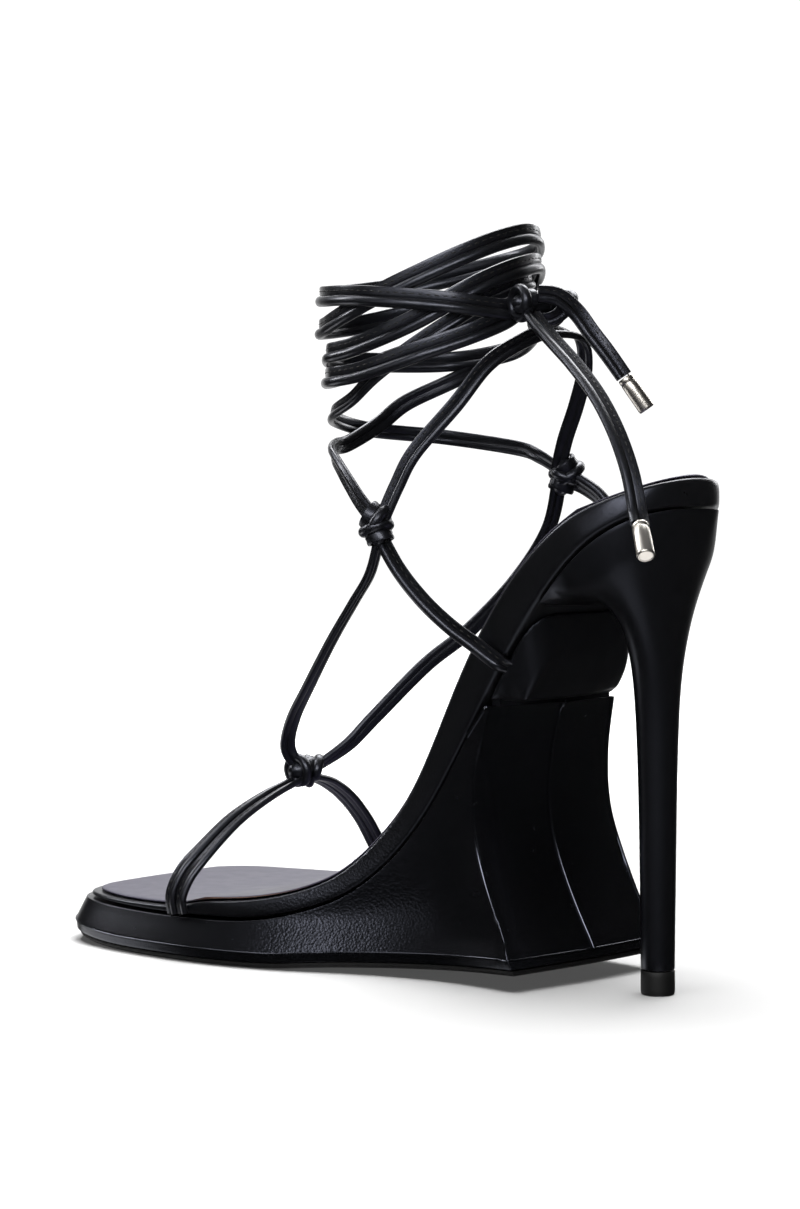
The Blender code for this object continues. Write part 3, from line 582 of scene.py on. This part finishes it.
# Lacing round the ankle: angle from the toe through the big-toe side, height, distance outward.
FRONT_INNER = [
    (103, 122, 5.5), (93, 127.5, 4.2), (83, 132.5, 2.6), (70, 137.2, 0.8), (52, 141, -0.8),
    (25, 143.2, -2), (5, 144.5, -2.2),
    (-23, 150, -0.5), (-41, 156.5, 0.5), (-70, 163.5, 1.5), (-100, 170.5, 1.5), (-128, 174, 1),
    (-158, 177, 0.5), (-168, 178.2, 2), (-177, 180, 7),
]
BACK_LOOP = [
    (106, 123.5, 6), (112, 132, 5.2), (120, 141, 4.6), (139, 153.7, 4.2), (155, 164.5, 4),
    (173, 170.7, 5), (190, 174, 8), (205, 172.5, 13.5), (214, 165, 14.5), (220, 155, 12.5),
    (227, 145, 10), (233, 136, 9),
]
FRONT_OUTER = [
    (233, 137, 9), (243, 140.5, 6), (258, 143, 4.6), (299, 146.4, 4), (339, 148.4, 2),
    (372, 150.6, -0.6), (408, 152.3, -1.2), (439, 156, -0.2), (456, 162, 0.3), (475, 168.8, 0.2),
    (500, 177, 0), (525, 184, 0), (560, 188.5, 0.3), (605, 188.3, 0.8),
]
UPPER_WRAP = [
    (230, 188.6, 0.8), (250, 188, 0.8), (300, 184, 0.6), (345, 179, 0.8), (390, 176.2, 1.2),
    (415, 176.4, 1.6), (440, 179.6, 1.8), (462, 184.4, 1.8), (482, 189, 1.8), (503, 194, 1.8),
    (524, 198.2, 1.8), (547, 200.8, 1.8), (570, 200.4, 1.8), (590, 199.4, 1.8),
]
TOP_WRAP = [
    (216, 199, 3), (240, 197.8, 3), (270, 195.5, 2.6), (315, 190.5, 2.0), (370, 186.4, 1.2),
    (410, 184.8, 1.8), (450, 183.6, 3.6), (492, 181.5, 3.9), (520, 179.8, 3.6), (532, 179.5, 3.4),
]
MIDDLE_WRAP = [
    (183, 180, 7), (192, 178.2, 2), (202, 177, 0.5), (232, 174, 1), (260, 170.3, 1.3),
    (300, 168, 1.0), (360, 168, 1.2), (415, 168.6, 1.0), (439, 169.7, 1.0),
    (461, 172.8, 1.0), (481, 177.2, 1.2), (497, 182, 1.4), (517, 187.4, 1.6), (540, 191.5, 1.8),
    (574, 193.4, 2.0), (598, 191.5, 2.2),
]
LOWER_WRAP = [
    (222, 192.0, 3.4), (250, 188, 3.2), (300, 175, 3.0), (360, 164, 2.0), (422, 162, 2.2),
    (450, 163, 3.0), (481, 168, 3.2), (506, 172.7, 3.2), (524, 176.5, 3.2), (533, 179, 3.2),
]
# Lines inside the foot that each group of straps faces away from.
TOE_LINE = ((40, 0, 20), (-10, 0, 24))
INSTEP_LINE = ((15, 0, 28), (-60, -2, 100))
SIDE_LINE = ((-40, -1, 122), (-85, -2, 82))
ANKLE_LINE = ((ANKLE_X, ANKLE_Y, 100), (ANKLE_X, ANKLE_Y, 230))
# Sizes of the strands beside a full strap: those between knots, the turns round the ankle, the strap
# of the big-toe side and the front strand that goes on from it, the toe straps.
SLIM, TURN, SIDE, TOE_SLIM = 0.72, 0.93, 0.78, 0.66
TOE_ASIDE = 2.0                          # the two toe straps lie this far to each side of their route
TWIST_FROM, TWIST_OVER = 0.45, 0.3       # where along its length a strand that twists does so


def route(rows):
    """Evenly spaced points, in metres, along a smooth curve through rows in millimetres."""
    knots = [Vector(r) * MM for r in rows]
    fine = []
    for i in range(len(knots) - 1):
        a, b = knots[max(i - 1, 0)], knots[i]
        c, d = knots[i + 1], knots[min(i + 2, len(knots) - 1)]
        for n in range(SPAN_STEPS):
            t = n / SPAN_STEPS
            fine.append(0.5 * (2 * b + (c - a) * t + (2 * a - 5 * b + 4 * c - d) * t**2
                               + (3 * b - a - 3 * c + d) * t**3))
    fine.append(knots[-1])
    length = sum((q - p).length for p, q in zip(fine, fine[1:]))
    steps = max(4, round(length / STRAP_STEP))
    even, walked, target = [fine[0]], 0.0, length / steps
    for p, q in zip(fine, fine[1:]):
        reach = (q - p).length
        while walked + reach >= target - 1e-12 and len(even) < steps:
            even.append(p.lerp(q, (target - walked) / reach))
            target += length / steps
        walked += reach
    even.append(fine[-1])
    return even


def strap_frame(path, i, out):
    """Directions across a strap and out of its face, at a point of its path where it faces out."""
    run = (path[min(i + 1, len(path) - 1)] - path[max(i - 1, 0)]).normalized()
    face = (out - run * out.dot(run)).normalized()
    return run.cross(face), face


def facing_from(path, line):
    """The two directions of a strap at each point of a path, where it faces away from a line."""
    start, stop = (Vector(p) * MM for p in line)
    along = (stop - start).normalized()
    frames = []
    for i, p in enumerate(path):
        reach = min(max((p - start).dot(along), 0.0), (stop - start).length)
        frames.append(strap_frame(path, i, p - (start + along * reach)))
    return frames


def eased(t):
    """From 0 to 1 with a soft start and a soft end."""
    t = min(max(t, 0.0), 1.0)
    return t * t * (3 - 2 * t)


def turned(frames, start, stop):
    """The same directions turned about the path, in degrees, from one angle to another at its middle."""
    result = []
    for i, (across, out) in enumerate(frames):
        a = math.radians(start + (stop - start) * eased((i / len(frames) - TWIST_FROM) / TWIST_OVER))
        result.append((across * math.cos(a) + out * math.sin(a),
                       out * math.cos(a) - across * math.sin(a)))
    return result


def add_swept(form, path, frames, section):
    """Adds a closed strip with flat ends to a mesh, one section at each point of a path."""
    layer = form.loops.layers.uv.verify()
    rings = []
    walked = 0.0
    for i, (p, (across, out)) in enumerate(zip(path, frames)):
        walked += (p - path[i - 1]).length if i else 0.0
        rings.append((walked, [form.verts.new(p + across * u + out * w) for u, w in section]))
    count = len(section)
    for (s0, a), (s1, b) in zip(rings, rings[1:]):
        for j in range(count):
            k = (j + 1) % count
            face = form.faces.new((a[j], a[k], b[k], b[j]))
            for loop, uv in zip(face.loops, ((s0, j), (s0, j + 1), (s1, j + 1), (s1, j))):
                loop[layer].uv = (uv[0], uv[1] / count)
    form.faces.new(rings[0][1])
    form.faces.new(rings[-1][1])


def strap_section(scale):
    """Points round a strap's section, in metres: its flange, then its bead."""
    points = list(FLANGE)
    for j in range(BEAD_SIDES):
        a = BEAD_FROM + (BEAD_TO - BEAD_FROM) * j / (BEAD_SIDES - 1)
        points.append((BEAD_CENTRE[0] + BEAD_ACROSS * math.cos(a),
                       BEAD_CENTRE[1] + BEAD_OUT * math.sin(a)))
    return [(u * scale * MM, w * scale * MM) for u, w in points]


def round_ankle(rows):
    """Points of the lacing, in millimetres, from angles, heights and distances outward."""
    found = []
    for degrees, height, outward in rows:
        a = math.radians(degrees)
        found.append((ANKLE_X + (ANKLE_LONG + outward) * math.cos(a),
                      ANKLE_Y + (ANKLE_WIDE + outward) * math.sin(a), height))
    return found


def run_on(first, second):
    """One lace of two wraps: the second goes on where the first ends, a full turn later."""
    return first[:-1] + [(degrees + 360, height, outward) for degrees, height, outward in second[1:]]


def stitch_line(path, frames, scale):
    """The line of stitches beside the bead of a strap of this size."""
    return [p + (across * STITCH_ACROSS + out * STITCH_OUT) * scale
            for p, (across, out) in zip(path, frames)]


def strap_finish():
    """Semi-gloss strap leather with fine cross creases along each strap."""
    made, tree, shader, place = new_finish("strap_leather", {
        "Base Color": (*STRAP_COLOUR, 1.0), "Specular IOR Level": 0.6,
        "Specular Tint": (*COOL_SHEEN, 1.0), "Coat Roughness": 0.18, "Coat Weight": 0.25})
    grain = use_group(tree, shader, leather_grain, place, Scale=1.0 / STRAP_CELL, Dull=0.44, Shine=0.28)
    along = tree.nodes.new("ShaderNodeUVMap")
    stretch = tree.nodes.new("ShaderNodeMapping")
    stretch.inputs["Scale"].default_value = CREASES
    tree.links.new(along.outputs["UV"], stretch.inputs["Vector"])
    creases = noise(tree, stretch.outputs["Vector"], scale=1.0, detail=3.0)
    height = worked_out(tree, "MULTIPLY_ADD", creases.outputs["Fac"], CREASE_SHARE, grain)
    bump_from(tree, shader, height, depth=0.06 * MM, strength=0.5)
    return made


strap_leather = strap_finish()
# Each strand: its route, the line it faces from, its size, how far it lies aside and outward in
# millimetres, and how it is turned at its start and at its end in degrees.
strands = [
    (INSTEP_INNER, INSTEP_LINE, SLIM, 0.0, -0.9, 40, 40),
    (INSTEP_OUTER, INSTEP_LINE, SLIM, 1.0, 0.0, 0, -38),
    (SIDE_INNER, SIDE_LINE, SIDE, 0.7, 0.0, 0, 0),
    (SIDE_OUTER, SIDE_LINE, 1.0, 0.0, 0.0, 0, 0),
]
for rows in (TOE_INNER, TOE_OUTER):
    for aside in (TOE_ASIDE, -TOE_ASIDE):
        strands.append((rows, TOE_LINE, TOE_SLIM, aside, 0.0, 0, 0))
for rows, scale, stop in ((FRONT_INNER, SIDE, 0), (BACK_LOOP, SLIM, 75), (FRONT_OUTER, SLIM, 0),
                          (run_on(UPPER_WRAP, TOP_WRAP), TURN, 0),
                          (run_on(MIDDLE_WRAP, LOWER_WRAP), TURN, 0)):
    strands.append((round_ankle(rows), ANKLE_LINE, scale, 0.0, 0.0, 0, stop))
form = bmesh.new()
seams = []
for rows, line, scale, aside, outward, start, stop in strands:
    path = route(rows)
    frames = facing_from(path, line)
    path = [p + (across * aside + out * outward) * MM for p, (across, out) in zip(path, frames)]
    frames = turned(frames, start, stop)
    add_swept(form, path, frames, strap_section(scale))
    seams.append(stitch_line(path, frames, scale))
straps = mesh_piece(form, "strap_upper")
fitted(straps, strap_leather, "strap_leather", "straps")


# Stitches of the straps
# One row of black thread holds each strap's flange beside its cord, with a short stitch sunk into
# the leather every couple of millimetres.
STITCH_SPACING = 2.3 * MM
STITCH_LONG = 1.5 * MM
THREAD_THICK = 0.42 * MM
THREAD_SIDES, THREAD_RINGS = 6, 4
THREAD_COLOUR = (0.010, 0.010, 0.010)


def stitch_tree():
    """Short stitches set along lines: spacing, stitch length, thread thickness and finish."""
    tree, given, lines = start_tree("stitch_row", [
        ("Spacing", "Float"), ("Stitch length", "Float"), ("Thread thickness", "Float")])
    add, link = tree.nodes.new, tree.links.new
    run = add("GeometryNodeInputTangent")
    turned = add("FunctionNodeAlignRotationToVector")
    turned.axis = "Z"
    bead = add("GeometryNodeMeshUVSphere")
    bead.inputs["Segments"].default_value = THREAD_SIDES
    bead.inputs["Rings"].default_value = THREAD_RINGS
    bead.inputs["Radius"].default_value = 0.5
    size = add("ShaderNodeCombineXYZ")
    placed = add("GeometryNodeInstanceOnPoints")
    link(run.outputs["Tangent"], turned.inputs["Vector"])
    link(given.outputs["Thread thickness"], size.inputs["X"])
    link(given.outputs["Thread thickness"], size.inputs["Y"])
    link(given.outputs["Stitch length"], size.inputs["Z"])
    link(spaced_out(tree, lines, given.outputs["Spacing"]), placed.inputs["Points"])
    link(bead.outputs["Mesh"], placed.inputs["Instance"])
    link(turned.outputs["Rotation"], placed.inputs["Rotation"])
    link(size.outputs["Vector"], placed.inputs["Scale"])
    end_tree(tree, given, placed.outputs["Instances"])
    return tree


def thread_finish():
    """Black thread whose fibres shine unevenly."""
    made, tree, shader, place = new_finish("black_thread", {"Base Color": (*THREAD_COLOUR, 1.0)})
    fibres = noise(tree, place, scale=9000.0).outputs["Fac"]
    tree.links.new(ranged(tree, fibres, (0.0, 1.0), (0.35, 0.6)), shader.inputs["Roughness"])
    return made


stitch_row = stitch_tree()
black_thread = thread_finish()


def stitched(lines, name):
    """A mesh of stitches along lines of points."""
    points, edges = [], []
    for line in lines:
        first = len(points)
        points += line
        edges += [(first + i, first + i + 1) for i in range(len(line) - 1)]
    return grown(stitch_row, name, points, edges,
                 {"Spacing": STITCH_SPACING, "Stitch length": STITCH_LONG,
                  "Thread thickness": THREAD_THICK, "Finish": black_thread})


fitted(stitched(seams, "strap_stitches"), black_thread, "strap_leather")


# Knots of the straps
# Each knot is the strap itself: a band drawn tight round the strands that meet there, and a second
# turn that crosses it at a slant and is pulled through, over the bundle of strands inside.

# Name, centre, axis, side that faces out, half length and thickness of the bundle in millimetres,
# then each turn of strap: place along the axis, lean in degrees, reach, turns, start in degrees.
KNOTS = [
    ("knot_toe", (12.0, 2.4, 50.3), (0.2, 1.0, 0.0), (-0.35, 0.3, 0.9), 5.6, 3.6,
     [(1.4, 14, 3.5, -1.3, 200), (-1.8, -40, 3.5, 1.25, 250)]),
    ("knot_inner", (-39.5, 30.2, 121.5), (0.25, 0.0, 1.0), (-0.5, 0.85, 0.1), 5.8, 3.4,
     [(-2.0, 10, 3.4, -1.3, 250), (1.6, 42, 3.6, 1.25, 60)]),
    ("knot_outer", (-55.8, -31.8, 135.0), (-0.3, 0.0, 1.0), (-0.65, 0.76, 0.0), 5.8, 3.4,
     [(-1.6, -8, 3.4, -1.3, 60), (1.8, 44, 3.6, 1.25, 250)]),
]
KNOT_STEPS = 44            # points along one turn of a knot
TUCK = 0.2                 # share of a turn's length over which an end is drawn in
END_REACH = 0.3            # share of the reach that is left at the end
CLIMB = 1.6                # how far a turn runs along the axis from end to end
KNOT_STRAP = 0.9           # the strap is squeezed where it is knotted


def wound(centre, axis, reach, turns, start):
    """Path and facing of a strap wound round an axis, its two ends tucked in."""
    axis = Vector(axis).normalized()
    aside = axis.orthogonal().normalized()
    other = axis.cross(aside)
    steps = round(KNOT_STEPS * abs(turns))
    path, outs = [], []
    for i in range(steps + 1):
        share = i / steps
        a = math.radians(start) + 2 * math.pi * turns * share
        drawn = END_REACH + (1.0 - END_REACH) * eased(min(share, 1.0 - share) / TUCK)
        out = aside * math.cos(a) + other * math.sin(a)
        path.append((Vector(centre) + axis * (share - 0.5) * CLIMB + out * reach * drawn) * MM)
        outs.append(out)
    return path, [strap_frame(path, i, out) for i, out in enumerate(outs)]


def add_core(form, centre, axis, half, radius):
    """Adds the bundle of strands inside a knot."""
    turn = Vector((0, 0, 1)).rotation_difference(Vector(axis).normalized()).to_matrix().to_4x4()
    size = Matrix.Diagonal((radius * MM, radius * MM, half * MM, 1.0))
    place = Matrix.Translation(Vector(centre) * MM) @ turn @ size
    bmesh.ops.create_uvsphere(form, u_segments=24, v_segments=14, radius=1.0, matrix=place)


def add_turns(form, centre, axis, face, turns_of_strap):
    """Adds the turns of strap of one knot."""
    axis = Vector(axis).normalized()
    for along, lean, reach, turns, start in turns_of_strap:
        leant = Matrix.Rotation(math.radians(lean), 3, Vector(face).normalized()) @ axis
        path, frames = wound(Vector(centre) + axis * along, leant, reach, turns, start)
        add_swept(form, path, frames, strap_section(KNOT_STRAP))


for name, centre, axis, face, half, thick, turns_of_strap in KNOTS:
    form = bmesh.new()
    add_turns(form, centre, axis, face, turns_of_strap)
    add_core(form, centre, axis, half, thick)
    fitted(mesh_piece(form, name), strap_leather, "strap_leather")


# Tie knot
# Behind the ankle the two ends of the lacing are tied in a simple knot: a turn at its inner end
# where the strands come in, a turn at its outer end, and a loop that arches across its front.
TIE_KNOT_CENTRE, TIE_KNOT_AXIS = (-70.8, 0.2, 180.6), (0.35, 1.0, 0.12)
TIE_KNOT_FACE = (-0.86, 0.5, 0.0)
TIE_TURNS = [(4.2, 8, 3.6, -1.3, 250), (-4.6, -24, 3.5, 1.3, 60)]
TIE_CORE_HALF, TIE_CORE_THICK = 8.0, 3.6
TIE_LOOP_REACH = 10.0      # the loop faces away from the knot's axis, up to this far from its middle
# The arching loop: along the knot's axis, out of its face, up, in millimetres from its centre.
TIE_LOOP = [
    (3.0, 1.2, -3.6), (0.6, 3.8, -4.0), (-2.4, 5.0, -3.0), (-5.2, 5.4, -0.4), (-7.4, 4.4, 2.6),
    (-8.2, 1.6, 4.2), (-6.8, -1.6, 4.0), (-4.6, -3.0, 2.0),
]
form = bmesh.new()
add_turns(form, TIE_KNOT_CENTRE, TIE_KNOT_AXIS, TIE_KNOT_FACE, TIE_TURNS)
axis = Vector(TIE_KNOT_AXIS).normalized()
face = Vector(TIE_KNOT_FACE)
face = (face - axis * face.dot(axis)).normalized()
middle = Vector(TIE_KNOT_CENTRE)
path = route([middle + axis * a + face * o + axis.cross(face) * u for a, o, u in TIE_LOOP])
frames = facing_from(path, (middle - axis * TIE_LOOP_REACH, middle + axis * TIE_LOOP_REACH))
add_swept(form, path, frames, strap_section(SLIM))
add_core(form, TIE_KNOT_CENTRE, TIE_KNOT_AXIS, TIE_CORE_HALF, TIE_CORE_THICK)
tie_knot = mesh_piece(form, "tie_knot_wound")
fitted(tie_knot, strap_leather, "strap_leather", "tie_knot")


# Metal tips
# A short tube of polished metal with a flat end is pressed on each loose end of the lacing.
AGLET_LONG, AGLET_RADIUS, AGLET_SIDES = 10.5, 2.3, 48
AGLET_ANGLE = 35           # edges of a tip that bend more than this, in degrees, are crisp
METAL_COLOUR = (0.80, 0.76, 0.70)
# Outline of a tip in millimetres: along it, radius. Mouth, crimped ring, body, rounded flat end.
AGLET_OUTLINE = [(0.0, 1.6), (0.05, 1.95), (0.3, 2.12), (1.2, 2.15), (1.5, 2.03), (1.8, 2.17),
                 (4.0, 2.24), (AGLET_LONG - 0.7, AGLET_RADIUS), (AGLET_LONG - 0.35, 2.27),
                 (AGLET_LONG - 0.12, 2.16), (AGLET_LONG, 1.95), (AGLET_LONG, 1.75),
                 (AGLET_LONG - 0.1, 1.65), (AGLET_LONG - 0.1, 0.5)]
TIP_GAP = 0.3              # millimetres from a loose end to its tip
# Routes of the two loose ends in millimetres, from the knot: a tip goes on from the end of each.
TIE_LONG = [
    (-72.9, 5.4, 177.8), (-77.6, 7.6, 174.2), (-84.4, 10.0, 169.4), (-93.2, 13.2, 163.2),
    (-103.5, 17.5, 155.0), (-112.5, 21.8, 145.5), (-119.0, 25.0, 135.5), (-122.8, 27.2, 126.2),
    (-125.3, 29.5, 122.5),
]
TIE_SHORT = [
    (-74.2, 4.4, 183.4), (-77.4, 0.2, 182.8), (-80.4, -4.2, 178.8), (-83.6, -6.8, 173.2),
    (-87.0, -9.2, 167.8), (-90.6, -12.0, 161.3),
]


def metal_finish():
    """Polished metal with fine scratches."""
    made, tree, shader, place = new_finish("polished_metal", {
        "Base Color": (*METAL_COLOUR, 1.0), "Metallic": 1.0})
    scratches = noise(tree, place, scale=1800.0, detail=4.0).outputs["Fac"]
    tree.links.new(ranged(tree, scratches, (0.0, 1.0), (0.30, 0.42)), shader.inputs["Roughness"])
    bump_from(tree, shader, scratches, depth=0.02 * MM, strength=0.2)
    return made


def metal_tip(name, rows):
    """A turned metal tip at the end of a tie's route."""
    last = Vector(rows[-1])
    run = (last - Vector(rows[-2])).normalized()
    aside = run.orthogonal().normalized()
    other = run.cross(aside)
    form = bmesh.new()
    rings = []
    for along, radius in AGLET_OUTLINE:
        middle = last + run * (TIP_GAP + along)
        ring = []
        for j in range(AGLET_SIDES):
            a = 2 * math.pi * j / AGLET_SIDES
            out = aside * math.cos(a) + other * math.sin(a)
            ring.append(form.verts.new((middle + out * radius) * MM))
        rings.append(ring)
    for a, b in zip(rings, rings[1:]):
        for j in range(AGLET_SIDES):
            k = (j + 1) % AGLET_SIDES
            form.faces.new((a[j], a[k], b[k], b[j]))
    form.faces.new(rings[0])
    form.faces.new(rings[-1])
    return mesh_piece(form, name, crisp=AGLET_ANGLE)


polished_metal = metal_finish()
tips = {}
for end, rows in (("long", TIE_LONG), ("short", TIE_SHORT)):
    tips[end] = metal_tip("metal_tip_" + end, rows)
    fitted(tips[end], polished_metal, "polished_metal", "aglet_" + end)


# Loose ends of the lacing
# Beyond the knot the two ends hang free behind the heel, rolled narrower than the straps and sewn
# down their length, each finished with its metal tip.
TIE_LINE = ((-50, -12, 185), (-100, -6, 105))      # both ends face away from this line
TIE_SCALE = 0.8
SHORT_TURN = -48           # the short end hangs with its face turned this far, in degrees
tie_seams = []
for end, rows, turn, on_it in (("long", TIE_LONG, 0, [tips["long"], tie_knot]),
                               ("short", TIE_SHORT, SHORT_TURN, [tips["short"]])):
    path = route(rows)
    frames = turned(facing_from(path, TIE_LINE), turn, turn)
    form = bmesh.new()
    add_swept(form, path, frames, strap_section(TIE_SCALE))
    tie = mesh_piece(form, "tie_end_" + end)
    fitted(tie, strap_leather, "strap_leather", "tie_" + end)
    tie_seams.append(stitch_line(path, frames, TIE_SCALE))
fitted(stitched(tie_seams, "tie_stitches"), black_thread, "strap_leather")


# Studio
# A white floor and backdrop, soft boxes round the shoe and above it, and weak ones below for what
# the floor throws back.
VIEW = Vector((0.6494, -0.7604, 0.0))
RIGHT = Vector((VIEW.y, -VIEW.x, 0.0))
CAMERA_PLACE = (-0.5137, 0.5758, 0.130)
LENS, SENSOR = 80.25, 36.0
SHIFT_DOWN = 111.0 / 1209.0      # the horizon lies this share of the frame above its middle

camera = linked("camera", bpy.data.cameras.new("camera"))
camera.location = CAMERA_PLACE
camera.rotation_mode = "QUATERNION"
camera.rotation_quaternion = VIEW.to_track_quat("-Z", "Y")
camera.data.lens = LENS
camera.data.sensor_width = SENSOR
camera.data.shift_y = -SHIFT_DOWN
camera.data.clip_start = 0.01
bpy.context.scene.camera = camera

# The floor glows where it is far from the shoe, so that it clips to white there, and is lit near it.
FLOOR_HALF = 6.0
FLOOR_GREY, GLOW_NEAR, GLOW_FAR = 0.5, 0.07, 1.05
GLOW_FROM, GLOW_TO = 0.22, 0.5      # the glow rises between these distances from the origin
form = bmesh.new()
bmesh.ops.create_grid(form, x_segments=1, y_segments=1, size=FLOOR_HALF)
floor = mesh_piece(form, "floor")
floor_white, tree, shader, place = new_finish("floor_white", {
    "Base Color": (FLOOR_GREY, FLOOR_GREY, FLOOR_GREY, 1.0), "Roughness": 0.9,
    "Specular IOR Level": 0.0, "Emission Color": (1.0, 1.0, 1.0, 1.0)})
away = tree.nodes.new("ShaderNodeVectorMath")
away.operation = "LENGTH"
tree.links.new(place, away.inputs[0])
glow = ranged(tree, away.outputs["Value"], (GLOW_FROM, GLOW_TO), (GLOW_NEAR, GLOW_FAR), "SMOOTHSTEP")
tree.links.new(glow, shader.inputs["Emission Strength"])
floor.data.materials.append(floor_white)
floor.visible_glossy = False

# Soft boxes: name, place to the right of, behind and above the shoe, width, height, strength, and
# whether the box is mirrored in the shoe. One that isn't lights the matte surfaces instead.
MIDDLE = Vector((-0.03, 0.0, 0.10))
SOFT_BOXES = [
    ("back_top", 0.05, 0.75, 0.95, 1.0, 0.6, 15.5, True),
    ("back_wash", 0.05, 0.45, 1.2, 0.9, 0.9, 12.0, False),
    ("left_strip", -0.93, 0.375, 0.62, 0.2, 0.5, 4.6, True),
    ("left_top", -0.55, 0.15, 0.82, 0.3, 0.3, 1.2, True),
    ("key_strip", -0.42, -0.68, 0.50, 0.14, 0.5, 1.7, True),
    ("key_front", -0.05, -0.80, 0.33, 0.55, 0.25, 3.4, True),
    ("left_low", -0.64, -0.64, 0.15, 0.5, 0.25, 0.3, True),
    ("floor_bounce", -0.6, 0.25, -0.33, 0.5, 0.2, 0.6, True),
    ("front_bounce", 0.1, -0.5, -0.6, 0.5, 0.5, 0.45, True),
    ("under_bounce", 0.1, 0.05, -0.9, 0.5, 0.5, 1.4, True),
    ("right_rim", 0.6, 0.75, 0.4, 0.2, 0.6, 2.2, True),
    ("floor_wash", 0.0, 0.05, 1.3, 1.2, 1.2, 46.0, False),
]
for name, aside, behind, above, wide, tall, power, mirrored in SOFT_BOXES:
    lamp = bpy.data.lights.new(name, "AREA")
    lamp.shape = "RECTANGLE"
    lamp.size, lamp.size_y, lamp.energy = wide, tall, power
    box = linked(name, lamp)
    box.location = MIDDLE + RIGHT * aside + VIEW * behind + Vector((0, 0, above))
    box.rotation_mode = "QUATERNION"
    box.rotation_quaternion = (MIDDLE - box.location).to_track_quat("-Z", "Y")
    box.visible_camera = False
    box.visible_glossy = mirrored
    box.visible_diffuse = not mirrored

# The surroundings are dark but for the lit backdrop behind the shoe, which the camera sees as white.
DARK, BACKDROP, SEEN_WHITE = 0.015, 1.1, 1.1
BACKDROP_EDGE, BACKDROP_FULL = 0.8, 0.97      # cosines of the angle from the line of sight
world = bpy.data.worlds.new("studio")
bpy.context.scene.world = world
world.use_nodes = True
tree = world.node_tree
sky = tree.nodes["Background"]
sky.inputs["Color"].default_value = (1.0, 1.0, 1.0, 1.0)
seen = tree.nodes.new("ShaderNodeLightPath")
where = tree.nodes.new("ShaderNodeTexCoord")
toward = tree.nodes.new("ShaderNodeVectorMath")
toward.operation = "DOT_PRODUCT"
toward.inputs[1].default_value = VIEW
tree.links.new(where.outputs["Generated"], toward.inputs[0])
backdrop = ranged(tree, toward.outputs["Value"], (BACKDROP_EDGE, BACKDROP_FULL), (DARK, BACKDROP))
strength = tree.nodes.new("ShaderNodeMix")
strength.inputs["B"].default_value = SEEN_WHITE
tree.links.new(backdrop, strength.inputs["A"])
tree.links.new(seen.outputs["Is Camera Ray"], strength.inputs["Factor"])
tree.links.new(strength.outputs["Result"], sky.inputs["Strength"])
bpy.context.scene.view_settings.view_transform = "Standard"
